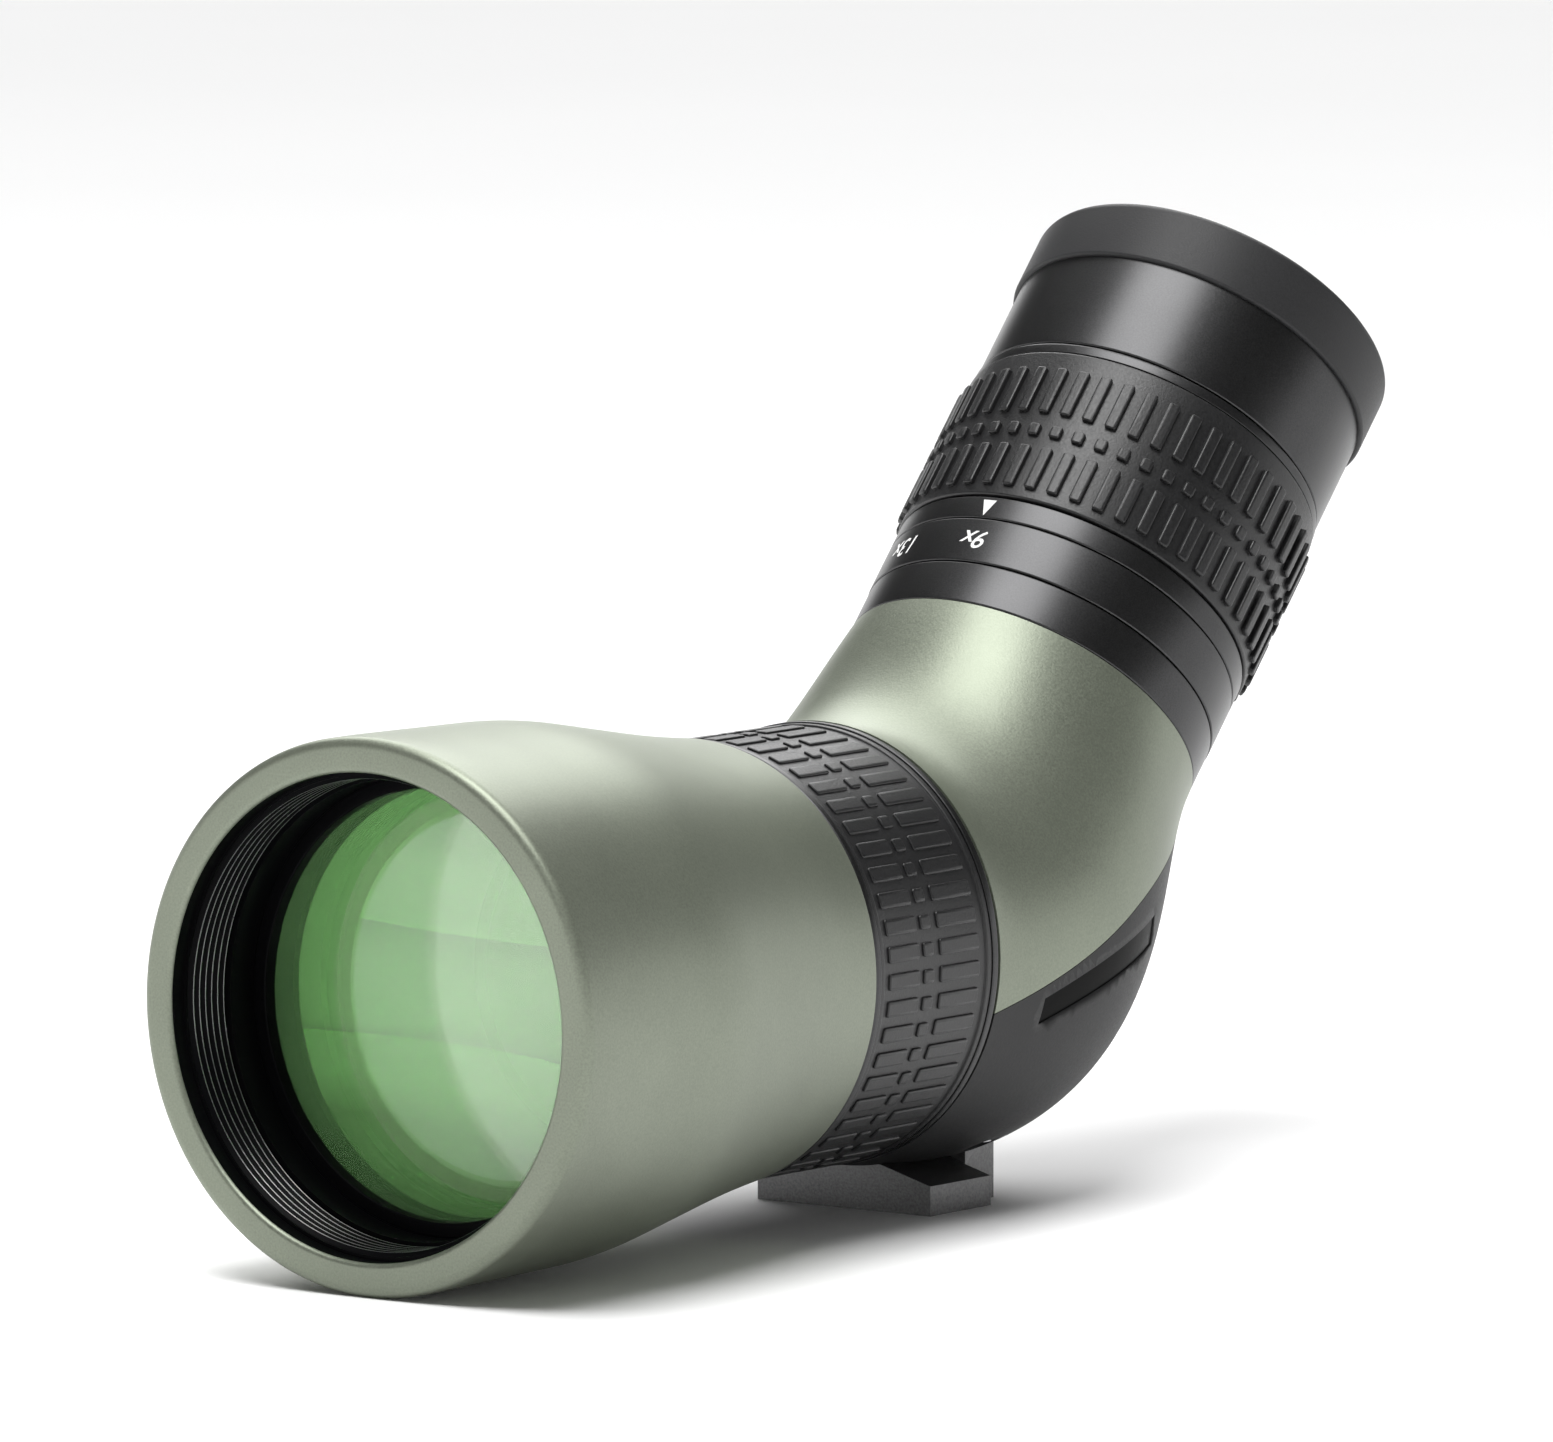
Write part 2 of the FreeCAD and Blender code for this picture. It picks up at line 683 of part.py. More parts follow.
def elbow_loft(name, wall=None, shift=0.0):
    """Solid elbow through its sections; with a wall it is the smaller cavity, short of both ends."""
    rings = []
    for index, section in enumerate(ELBOW_SECTIONS):
        depth, width, reach = elbow_section(index)
        angle = section[0]
        if wall:
            depth, width = depth - wall, width - wall
            if index == 0:
                angle = CAVITY_END_ANGLES[0]
            elif index == len(ELBOW_SECTIONS) - 1:
                angle = CAVITY_END_ANGLES[1]
        rings.append(elbow_ring("%s_ring_%d" % (name, index), angle, depth, width, reach, shift))
    loft = doc.addObject("Part::Loft", name)
    loft.Sections = rings
    loft.Solid = True
    loft.Ruled = False
    return loft


# y and z from the crossing of the axes
SEAM_FRONT = (Dim(-24), Dim(-7.8))
SEAM_MIDDLE = (Dim(8), Dim(3.3))
SEAM_REAR = (Dim(46), Dim(15.0))
SEAM_BEND = Dim(125)
FAR_BELOW = Dim(-60)
SEAM_BLOCK_WIDTH = 90
TOP_BORE_START = 26
TOP_BORE_DEPTH = Dim(12)


def parting_block(name, drop):
    """Everything below the seam between housing and cover: an S-shaped line drawn from the side."""
    body = new_body(name, Placement(CROSSING - Vector(0, 0, drop.value), Rotation()))
    sketch = new_sketch(body, name + "_seam", "YZ_Plane")
    draw_outline(sketch, [
        (SEAM_FRONT[0], FAR_BELOW), (SEAM_REAR[0], FAR_BELOW), SEAM_REAR + ((SEAM_BEND, -1),),
        SEAM_MIDDLE + ((SEAM_BEND, 1),), SEAM_FRONT])
    pad = body.newObject("PartDesign::Pad", name + "_pad")
    pad.Profile = sketch
    pad.SideType = "Symmetric"
    pad.Length = SEAM_BLOCK_WIDTH
    doc.recompute()
    return body


def make_housing_and_cover():
    outer = elbow_loft("elbow_outside")
    cavity = elbow_loft("elbow_cavity", d.housing_wall)
    front = OPTICAL.multVec(Vector(0, 0, SIZES["housing_front"] - 1))
    front_bore = rod("elbow_front_bore", d.tube_radius + 0.02, d.front_bore_depth + 1, front,
                     Vector(0, 1, 0))
    up = EYEPIECE.Rotation.multVec(Vector(0, 0, 1))
    top_bore = rod("elbow_top_bore", d.housing_top_bore, TOP_BORE_DEPTH, CROSSING + up * TOP_BORE_START, up)
    hollow = joined("elbow_hollow", "Part::MultiFuse", [cavity, front_bore, top_bore])
    shell = joined("elbow_shell", "Part::Cut", [outer, hollow])
    housing = joined("prism_housing", "Part::Cut", [shell, parting_block("seam_upper", Dim(0))])
    node("prism_housing", housing)

    lower = joined("cover_shell", "Part::MultiCommon",
                   [shell, parting_block("seam_lower", d.parting_gap)])
    bosses = [rod("cover_boss_%d" % number, radius, Dim(BOSS_HEIGHT),
                  in_crossing_frame(y, top - BOSS_HEIGHT, x))
              for number, (x, y, top, radius) in enumerate(BOSSES)]
    boss_group = joined("cover_boss_group", "Part::MultiFuse", bosses)
    boss_inside = joined("cover_bosses", "Part::MultiCommon", [boss_group, outer])
    blank = joined("cover_blank", "Part::MultiFuse", [lower, boss_inside])
    drilled = joined("cover_drilled", "Part::Cut", [blank, cover_holes()])
    plate_void, plate = nameplate_shapes()
    node("lower_cover", joined("lower_cover", "Part::Cut", [drilled, plate_void]))
    node("nameplate", plate)


# x, y, top of boss (both from the crossing of the axes) and radius
FOOT_SCREWS = ((0.0, -13.2, -27.1), (6.3, 1.2, -24.6), (-6.3, 1.2, -24.6))
COVER_SCREWS = ((12.3, -3.0), (-12.3, -3.0))
BOSSES = ((6.3, 1.2, -24.1, Dim(2.6)), (-6.3, 1.2, -24.1, Dim(2.6)),
          (12.3, -3.0, -21.55, Dim(2.8)), (-12.3, -3.0, -21.55, Dim(2.8)))
BOSS_HEIGHT = 12
FOOT_SCREW_RADIUS = Dim(1.25)
FOOT_HOLE_DEPTH = 10
FOOT_HEAD_RADIUS = Dim(2.2)
FOOT_HEAD_HEIGHT = Dim(1.6)
FOOT_SINK_DEPTH = 2.0
COVER_HEAD_TOP = -26.0
COVER_HEAD_RADIUS = Dim(2.0)
COVER_HEAD_HEIGHT = 1.4
COVER_SCREW_RADIUS = Dim(1.0)
COVER_SCREW_LENGTH = Dim(11.4)
COVER_HOLE_START = -35
COVER_HOLE_LENGTH = Dim(20)
COVER_BORE_DEPTH = 9


def cover_holes():
    """Screw holes in the cover: for the foot's screws and for its own two."""
    tools = []
    for number, (x, y, tip) in enumerate(FOOT_SCREWS):
        tools.append(rod("foot_hole_%d" % number, FOOT_SCREW_RADIUS, Dim(FOOT_HOLE_DEPTH),
                         in_crossing_frame(y, tip - FOOT_HOLE_DEPTH, x)))
    for number, (x, y) in enumerate(COVER_SCREWS):
        tools.append(rod("cover_hole_%d" % number, COVER_SCREW_RADIUS + 0.05, COVER_HOLE_LENGTH,
                         in_crossing_frame(y, COVER_HOLE_START, x)))
        tools.append(rod("cover_bore_%d" % number, COVER_HEAD_RADIUS + 0.1, Dim(COVER_BORE_DEPTH),
                         in_crossing_frame(y, COVER_HEAD_TOP - COVER_BORE_DEPTH, x)))
    return joined("cover_hole_tools", "Part::MultiFuse", tools)


# how far the recess for the nameplate, and the plate's own face, lie inside the cover's surface
PLATE_RECESS = 1.1
PLATE_INSET = 0.2
PLATE_OUTLINE = ((-11.5, -9.8), (16.1, -1.9), (15.9, 2.1), (-11.1, -6.3))
PLATE_REACH = 40


def nameplate_shapes():
    """Curved blank plate let into the right side of the cover, and the recess for it."""
    body = new_body("plate_prism", Placement(CROSSING, Rotation()))
    sketch = new_sketch(body, "plate_outline", "YZ_Plane")
    draw_outline(sketch, [(Dim(y), Dim(z)) for y, z in PLATE_OUTLINE])
    pad = body.newObject("PartDesign::Pad", "plate_pad")
    pad.Profile = sketch
    pad.Length = PLATE_REACH
    doc.recompute()
    void = joined("plate_void", "Part::Cut", [body, elbow_loft("plate_floor", shift=PLATE_RECESS)])
    plate = joined("nameplate", "Part::MultiCommon", [void, elbow_loft("plate_face", shift=PLATE_INSET)])
    return void, plate


# ---------------------------------------------------------------- prism
def make_prism():
    tilt = d.eyepiece_tilt
    half = tilt / 2
    top_y = -d.prism_reach
    top_z = d.prism_reach * (1 + cosine(tilt)) / sine(tilt)
    low_z = top_z - d.prism_face
    rear_y = top_y + d.prism_face * sine(tilt)
    rear_z = top_z - d.prism_face * cosine(tilt)
    roof_y = d.prism_half_width * sine(half)
    roof_z = d.prism_half_width * cosine(half)
    body = new_body("roof_prism", UPRIGHT)
    sketch = new_sketch(body, "prism_outline", "YZ_Plane")
    draw_outline(sketch, [(top_y, top_z), (top_y, low_z), (top_y + roof_y, low_z - roof_z),
                          (rear_y + roof_y, rear_z - roof_z), (rear_y, rear_z)])
    pad = body.newObject("PartDesign::Pad", "prism_block")
    pad.Profile = sketch
    pad.SideType = "Symmetric"
    bind(pad, "Length", d.prism_half_width * 2)
    doc.recompute()
    ends = [Vector(0, (top_y + roof_y).value, (low_z - roof_z).value),
            Vector(0, (rear_y + roof_y).value, (rear_z - roof_z).value)]
    long_edges = []
    for number, edge in enumerate(pad.Shape.Edges, start=1):
        flat = [Vector(0, vertex.Y, vertex.Z) for vertex in edge.Vertexes]
        if len(flat) == 2 and all(min((p - end).Length for end in ends) < 1e-4 for p in flat):
            if (flat[0] - flat[1]).Length > 1:
                long_edges.append("Edge%d" % number)
    roof = body.newObject("PartDesign::Chamfer", "roof_faces")
    roof.Base = (pad, long_edges)
    bind(roof, "Size", d.prism_half_width - 0.2)
    doc.recompute()
    node("roof_prism", body)


def make_prism_holder():
    tilt = d.eyepiece_tilt
    front = -d.holder_front
    top_of_front = (d.holder_top + d.holder_front * cosine(tilt)) / sine(tilt)
    reach = Dim(20.0)
    tip_y = d.holder_top * cosine(tilt) + reach * sine(tilt)
    tip_z = d.holder_top * sine(tilt) - reach * cosine(tilt)
    bottom = Dim(-21.5)
    heel_start = Dim(4.0)
    heel_end = (Dim(19.5), Dim(-12.5))
    outside = Dim(40)
    body = new_body("prism_holder", UPRIGHT)
    sketch = new_sketch(body, "holder_outline", "YZ_Plane")
    draw_outline(sketch, [(front, top_of_front), (front, bottom), (heel_start, bottom), heel_end,
                          (tip_y, tip_z)])
    pad = body.newObject("PartDesign::Pad", "holder_block")
    pad.Profile = sketch
    pad.SideType = "Symmetric"
    bind(pad, "Length", d.holder_half_width * 2)
    doc.recompute()
    inner_face = -(d.prism_reach + gap)
    cut_sideways(body, "prism_slot", [(inner_face, outside), (inner_face, -outside),
                                      (outside, -outside), (outside, outside)],
                 d.prism_half_width + gap)
    window_radius = Dim(9.8)
    hole_depth = Dim(8)
    tools = [rod("holder_window", window_radius, hole_depth, in_crossing_frame(-12, 0), Vector(0, 1, 0))]
    for number, (x, y) in enumerate(COVER_SCREWS):
        tools.append(rod("holder_hole_%d" % number, COVER_SCREW_RADIUS, hole_depth,
                         in_crossing_frame(y, bottom.value - 0.5, x)))
    up = EYEPIECE.Rotation.multVec(Vector(0, 0, 1))
    for number, (x, q) in enumerate(CLAMP_SCREWS):
        seat = EYEPIECE.multVec(Vector(x, q, SIZES["holder_top"] + 1))
        tools.append(rod("clamp_hole_%d" % number, CLAMP_SCREW_RADIUS, CLAMP_SCREW_LENGTH + 1, seat, -up))
    drills = joined("holder_drills", "Part::MultiFuse", tools)
    node("prism_holder", joined("prism_holder_part", "Part::Cut", [body, drills]))


CLAMP_SCREWS = ((12.3, -16.0), (-12.3, -16.0), (12.3, 14.0), (-12.3, 14.0))
CLAMP_SCREW_RADIUS = Dim(0.8)
CLAMP_SCREW_LENGTH = Dim(4.0)
CLAMP_HEAD_RADIUS = Dim(1.4)
CLAMP_HEAD_HEIGHT = 0.9


def make_clamp():
    """Plate across the top of the holder that keeps the prism down, with its four screws."""
    low, high = Dim(-19.5), Dim(17.5)
    frame = EYEPIECE.multiply(Placement(Vector(0, 0, SIZES["holder_top"]), Rotation()))
    body = new_body("prism_clamp", frame)
    sketch = new_sketch(body, "clamp_outline", "XY_Plane")
    draw_outline(sketch, [(-d.holder_half_width, low), (d.holder_half_width, low),
                          (d.holder_half_width, high), (-d.holder_half_width, high)])
    pad = body.newObject("PartDesign::Pad", "clamp_plate")
    pad.Profile = sketch
    bind(pad, "Length", d.clamp_thickness)
    doc.recompute()
    up = frame.Rotation.multVec(Vector(0, 0, 1))
    window_radius = Dim(9.5)
    through = Dim(3)
    tools = [rod("clamp_window", window_radius, through, frame.multVec(Vector(0, 0, -1)), up)]
    screws = []
    for number, (x, q) in enumerate(CLAMP_SCREWS):
        tools.append(rod("clamp_drill_%d" % number, CLAMP_SCREW_RADIUS + 0.05, through,
                         frame.multVec(Vector(x, q, -1)), up))
        top = frame.multVec(Vector(x, q, SIZES["clamp_thickness"] + CLAMP_HEAD_HEIGHT))
        screws.append(screw_solid("clamp_screw_%d" % number, CLAMP_HEAD_RADIUS, Dim(CLAMP_HEAD_HEIGHT),
                                  CLAMP_SCREW_RADIUS, CLAMP_SCREW_LENGTH, top, -up,
                                  CLAMP_HEAD_RADIUS * 0.5))
    drills = joined("clamp_drills", "Part::MultiFuse", tools)
    node("prism_clamp", joined("prism_clamp_part", "Part::Cut", [body, drills]))
    node("clamp_screws", joined("clamp_screws", "Part::Compound", screws))


# ---------------------------------------------------------------- foot
def make_foot(outer):
    """T-shaped foot: a winged bar in front and a narrower tail, shaped to the housing above it."""
    bar_frame = Placement(Vector(0, SIZES["foot_front"] - SIZES["thread_setback"], 0), Rotation())
    bar = new_body("foot_bar", bar_frame)
    sketch = new_sketch(bar, "bar_outline", "XZ_Plane")
    neck = d.foot_neck_half_width
    half = d.foot_half_width
    neck_height = d.axis_height - 29.4
    draw_outline(sketch, [(-half, 0), (half, 0), (half, d.foot_bar_height), (neck, neck_height),
                          (neck, Dim(10)), (-neck, Dim(10)), (-neck, neck_height),
                          (-half, d.foot_bar_height)])
    pad = bar.newObject("PartDesign::Pad", "bar_pad")
    pad.Profile = sketch
    pad.Reversed = True
    bind(pad, "Length", d.foot_bar_length)
    doc.recompute()
    tail_start = d.foot_front + d.foot_bar_length
    tail = doc.addObject("Part::Box", "foot_tail")
    bind(tail, "Length", d.foot_tail_half_width * 2)
    bind(tail, "Width", d.foot_tail_end - tail_start)
    bind(tail, "Height", Dim(10.0))
    tail.Placement = Placement(Vector(-SIZES["foot_tail_half_width"],
                                      tail_start.value - SIZES["thread_setback"], 0), Rotation())
    block = joined("foot_block", "Part::MultiFuse", [bar, tail])
    shaped = joined("foot_shaped", "Part::Cut", [block, outer])
    tools = [rod("insert_bore", d.insert_radius, d.insert_length, Vector(0, 0, 0))]
    screws = []
    for number, (x, y, tip) in enumerate(FOOT_SCREWS):
        bottom = in_crossing_frame(y, -SIZES["axis_height"], x)
        length = SIZES["axis_height"] + tip
        tools.append(rod("foot_drill_%d" % number, FOOT_SCREW_RADIUS, Dim(length), bottom))
        tools.append(rod("foot_sink_%d" % number, FOOT_HEAD_RADIUS + 0.1, Dim(FOOT_SINK_DEPTH), bottom))
        head = bottom + Vector(0, 0, FOOT_SINK_DEPTH - FOOT_HEAD_HEIGHT.value)
        screws.append(screw_solid("foot_screw_%d" % number, FOOT_HEAD_RADIUS, FOOT_HEAD_HEIGHT,
                                  FOOT_SCREW_RADIUS, Dim(length - 2.4), head, Vector(0, 0, 1),
                                  FOOT_HEAD_RADIUS * 0.5))
    drills = joined("foot_drills", "Part::MultiFuse", tools)
    node("foot", joined("foot", "Part::Cut", [shaped, drills]))
    node("foot_screws", joined("foot_screws", "Part::Compound", screws))
    turned("tripod_insert", Placement(),
           washer(d.thread_radius, d.insert_radius, Dim(0), d.insert_length))


def make_cover_screws():
    screws = []
    for number, (x, y) in enumerate(COVER_SCREWS):
        head = in_crossing_frame(y, COVER_HEAD_TOP - COVER_HEAD_HEIGHT, x)
        screws.append(screw_solid("cover_screw_%d" % number, COVER_HEAD_RADIUS, Dim(COVER_HEAD_HEIGHT),
                                  COVER_SCREW_RADIUS, COVER_SCREW_LENGTH, head, Vector(0, 0, 1),
                                  COVER_HEAD_RADIUS * 0.45))
    node("cover_screws", joined("cover_screws", "Part::Compound", screws))


# ---------------------------------------------------------------- eyepiece
def make_eyepiece_base():
    turned("mount_seal", EYEPIECE, washer(d.housing_top_bore, d.collar_radius - 0.15,
                                          d.housing_top, d.mount_flange_bottom))
    turned("eyepiece_mount", EYEPIECE, [
        (d.mount_bore, d.mount_bottom), (d.mount_neck, d.mount_bottom),
        (d.mount_neck, d.mount_flange_bottom), (d.collar_radius, d.mount_flange_bottom),
        (d.collar_radius, d.mount_flange_top), (d.mount_neck, d.mount_flange_top),
        (d.mount_neck, d.mount_top), (d.mount_bore, d.mount_top)],
        [(as_dim(0.3), [(d.collar_radius, d.mount_flange_bottom), (d.collar_radius, d.mount_flange_top)])])
    turned("scale_ring", EYEPIECE,
           washer(d.mount_neck + gap, d.scale_radius, d.scale_bottom, d.scale_top),
           [(as_dim(0.25), [(d.scale_radius, d.scale_bottom), (d.scale_radius, d.scale_top)])])


def make_inner_barrel():
    """Fixed tube of the eyepiece, with the slot that the zoom drive screw swings in."""
    floor = d.inner_barrel_bottom + 1.05
    relief_low = d.cup_pin_station - d.cup_pin_radius - 0.5
    relief_high = d.cup_pin_station + d.cup_travel + d.cup_pin_radius + 0.5
    relief = d.inner_barrel_radius - 0.7
    half_turn = Rotation(Vector(0, 0, 1), -SIZES["zoom_turn"] / 2)
    frame = EYEPIECE.multiply(Placement(Vector(), half_turn))
    barrel = turned("eyepiece_barrel", frame, [
        (d.nose_bore, d.nose_bottom), (d.nose_radius, d.nose_bottom),
        (d.nose_radius, d.inner_barrel_bottom), (d.inner_barrel_radius, d.inner_barrel_bottom),
        (d.inner_barrel_radius, relief_low), (relief, relief_low), (relief, relief_high),
        (d.inner_barrel_radius, relief_high), (d.inner_barrel_radius, d.inner_barrel_top),
        (d.inner_barrel_bore, d.inner_barrel_top), (d.inner_barrel_bore, floor), (d.nose_bore, floor)])
    sketch = new_sketch(barrel, "swing_slot_outline", "XZ_Plane")
    reach = d.drive_radius + 0.1
    draw_outline(sketch, washer(d.inner_barrel_bore - 0.5, d.inner_barrel_radius + 0.5,
                                d.drive_station - reach, d.drive_station + reach))
    before = barrel.Shape.Volume
    groove = barrel.newObject("PartDesign::Groove", "swing_slot")
    groove.Profile = sketch
    groove.ReferenceAxis = (sketch, ["V_Axis"])
    groove.Midplane = True
    groove.Angle = SIZES["zoom_turn"] + 8.0
    doc.recompute()
    if barrel.Shape.Volume > before - 1:
        raise RuntimeError("swing slot cut nothing")


def make_zoom_drive():
    bore = d.inner_barrel_radius + gap
    ring = turned("zoom_ring", EYEPIECE, [
        (bore, d.zoom_bottom), (d.scale_radius, d.zoom_bottom), (d.scale_radius, d.zoom_band_top),
        (d.zoom_seat_radius, d.zoom_band_top), (d.zoom_seat_radius, d.zoom_lip_bottom),
        (d.zoom_lip_radius, d.zoom_lip_bottom), (d.zoom_lip_radius, d.zoom_top), (bore, d.zoom_top)],
        [(as_dim(0.25), [(d.scale_radius, d.zoom_bottom), (d.zoom_lip_radius, d.zoom_top)])])
    cut_one_side(ring, "drive_hole", d.drive_station, d.drive_radius)
    turned("zoom_grip", EYEPIECE, washer(d.zoom_seat_radius, d.zoom_grip_radius,
                                         d.zoom_band_top, d.zoom_lip_bottom))
    outline = [(d.guide_radius + gap, d.cam_bottom), (d.cam_radius, d.cam_bottom),
               (d.cam_radius, d.cam_top), (d.guide_radius + gap, d.cam_top)]
    for low, high in reversed(cam_reliefs()):
        outline += [(d.guide_radius + gap, high), (d.cam_relief, high), (d.cam_relief, low),
                    (d.guide_radius + gap, low)]
    cam = turned("zoom_cam_tube", EYEPIECE, outline)
    cut_one_side(cam, "drive_hole_inner", d.drive_station, d.drive_radius)
    base = EYEPIECE.multVec(Vector(SIZES["guide_radius"] + 0.15, 0, SIZES["drive_station"]))
    node("zoom_drive_screw", rod("zoom_drive_screw", d.drive_radius,
                                 d.zoom_seat_radius - d.guide_radius - 0.25, base, Vector(1, 0, 0)))


def cam_reliefs():
    """Stations of the two grooves in the cam tube that the cell pins travel in."""
    half = d.zoom_cell_length / 2
    margin = d.pin_radius + 0.2
    front = d.front_cell_bottom + half
    rear = d.rear_cell_bottom + half
    return [(front - d.zoom_travel - margin, front + margin), (rear - margin, rear + d.zoom_travel + margin)]


def make_guide_tube():
    tube = turned("zoom_guide_tube", EYEPIECE,
                  washer(d.guide_bore, d.guide_radius, d.guide_bottom, d.guide_top))
    for name, (low, high) in zip(("front_slots", "rear_slots"), cam_reliefs()):
        cut_sideways(tube, name, slot(d.pin_radius + gap, low + 0.1, high - 0.1))
    turned("field_stop", EYEPIECE, washer(Dim(9.5), d.guide_bore - gap, Dim(45.0), Dim(46.2)))


def make_zoom_cell(which, bottom):
    """Sliding cell: the front group is hollow both sides, the rear group is domed both sides."""
    top = bottom + d.zoom_cell_length
    middle = bottom + d.zoom_cell_length / 2
    seat = d.zoom_lens_radius + gap
    domed = which == "rear"
    lip = Dim(3.0) if domed else Dim(1.2)
    thickness = Dim(2.0) if domed else Dim(6.0)
    cell = turned("zoom_cell_" + which, EYEPIECE, [
        (d.zoom_lens_clear, bottom), (d.zoom_cell_radius, bottom), (d.zoom_cell_radius, top),
        (seat, top), (seat, bottom + lip), (d.zoom_lens_clear, bottom + lip)])
    cut_sideways(cell, "pin_holes_" + which, (middle, d.pin_radius))
    curve = Dim(38.0) if domed else Dim(50.0)
    lens("zoom_lens_" + which, EYEPIECE, d.zoom_lens_radius, d.zoom_lens_clear, bottom + lip,
         bottom + lip + thickness, curve, curve, low_out=domed, high_out=domed)
    pins_along_x("zoom_pins_" + which, EYEPIECE, seat + 0.3, d.cam_relief - 0.1, middle, d.pin_radius)


def make_eye_lenses():
    seat = d.eye_lens_radius + gap
    floor = d.eye_cell_bottom + 1.4
    turned("eye_lens_cell", EYEPIECE, [
        (d.eye_lens_clear, d.eye_cell_bottom), (d.inner_barrel_bore - gap, d.eye_cell_bottom),
        (d.inner_barrel_bore - gap, d.inner_barrel_top + gap),
        (d.eye_cell_flange, d.inner_barrel_top + gap), (d.eye_cell_flange, d.eye_cell_top),
        (seat, d.eye_cell_top), (seat, floor), (d.eye_lens_clear, floor)],
        [(as_dim(0.4), [(d.eye_cell_flange, d.eye_cell_top)])])
    inner_top = floor + 1.6
    outer_bottom = d.eye_cell_top - 3.7
    outer_top = d.eye_cell_top - 2.2
    lens("inner_eye_lens", EYEPIECE, d.eye_lens_radius, d.eye_lens_clear, floor, inner_top,
         None, Dim(48.0))
    turned("eye_lens_spacer", EYEPIECE,
           washer(d.eye_lens_clear + 0.1, d.eye_lens_radius, inner_top, outer_bottom))
    lens("eye_lens", EYEPIECE, d.eye_lens_radius, d.eye_lens_clear, outer_bottom, outer_top,
         None, Dim(62.0))
    turned("eye_lens_ring", EYEPIECE,
           washer(d.eye_lens_clear, d.eye_lens_radius, outer_top, d.eye_cell_top))


def make_eyecup():
    bore = d.inner_barrel_radius + gap
    ring_top = d.cup_ring_bottom + d.cup_ring_length
    turned("eyecup_guide_ring", EYEPIECE, washer(bore, d.cup_ring_radius, d.cup_ring_bottom, ring_top))
    seat_top = d.cup_top - 1.3
    recess = d.cup_ring_radius + gap
    sleeve = turned("eyecup_sleeve", EYEPIECE, [
        (bore, d.cup_bottom), (d.cup_sleeve_radius, d.cup_bottom),
        (d.cup_sleeve_radius, d.cup_rubber_bottom), (d.cup_seat_radius, d.cup_rubber_bottom),
        (d.cup_seat_radius, seat_top), (d.cup_opening + 1, seat_top),
        (d.cup_opening + 1, seat_top - 1), (bore, seat_top - 1), (bore, ring_top + gap),
        (recess, ring_top + gap), (recess, d.cup_ring_bottom - gap), (bore, d.cup_ring_bottom - gap)],
        [(as_dim(0.25), [(d.cup_sleeve_radius, d.cup_bottom)])])
    pin_reach = d.inner_barrel_radius + 1.4
    cut_one_side(sleeve, "cup_pin_hole", d.cup_pin_station, d.cup_pin_radius, pin_reach, count=3)
    pins = []
    for number in range(3):
        turn = Rotation(Vector(0, 0, 1), 120 * number)
        frame = EYEPIECE.multiply(Placement(Vector(), turn))
        base = frame.multVec(Vector(SIZES["inner_barrel_radius"] - 0.5, 0, SIZES["cup_pin_station"]))
        pins.append(rod("eyecup_pin_%d" % number, d.cup_pin_radius, Dim(1.9), base,
                        frame.Rotation.multVec(Vector(1, 0, 0))))
    node("eyecup_pins", joined("eyecup_pins", "Part::Compound", pins))
    turned("eyecup_rubber", EYEPIECE, [
        (d.cup_seat_radius, d.cup_rubber_bottom), (d.cup_rubber_radius, d.cup_rubber_bottom),
        (d.cup_rubber_radius, d.cup_top), (d.cup_opening, d.cup_top), (d.cup_opening, seat_top),
        (d.cup_seat_radius, seat_top)],
        [(as_dim(1.0), [(d.cup_rubber_radius, d.cup_top)]),
         (as_dim(0.5), [(d.cup_opening, d.cup_top), (d.cup_rubber_radius, d.cup_rubber_bottom)])])


def check_document():
    for item in doc.Objects:
        if any(word in item.State for word in ("Invalid", "Error")):
            raise RuntimeError("%s failed: %s" % (item.Label, item.State))
    for label, item in NODES.items():
        if item.Shape.isNull() or not item.Shape.isValid() or not item.Shape.Solids:
            raise RuntimeError("%s has no valid solid" % label)


def export_nodes():
    os.makedirs("parts", exist_ok=True)
    for old in os.listdir("parts"):
        if old.endswith(".step") and old[:-5] not in NODES:
            os.remove(os.path.join("parts", old))
    for label, item in NODES.items():
        item.Shape.exportStep(os.path.join("parts", label + ".step"))
        print("%-26s %9.1f mm3  %d solid(s)" % (label, item.Shape.Volume, len(item.Shape.Solids)))


make_objective_barrel()
make_shade_ring()
make_objective_group()
make_light_baffle()
make_centre_tube()
make_focus_ring()
make_focus_cell()
make_housing_and_cover()
make_prism()
make_prism_holder()
make_clamp()
make_foot(doc.getObject("elbow_outside"))
make_cover_screws()
make_eyepiece_base()
make_inner_barrel()
make_zoom_drive()
make_guide_tube()
make_zoom_cell("front", d.front_cell_bottom)
make_zoom_cell("rear", d.rear_cell_bottom)
make_eye_lenses()
make_eyecup()
doc.recompute()
check_document()
export_nodes()
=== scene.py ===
"""Looks of the angled spotting scope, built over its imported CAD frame.

Lengths below are millimetres along one of two axes, as in the frame: the optical axis, measured
from the rim of the objective to the rear, and the eyepiece's axis, measured up from the point
where it crosses the optical axis.  Angles about an axis start at +X and turn right-handed.
"""
import json
import math

import bmesh
import bpy
from mathutils import Matrix, Vector

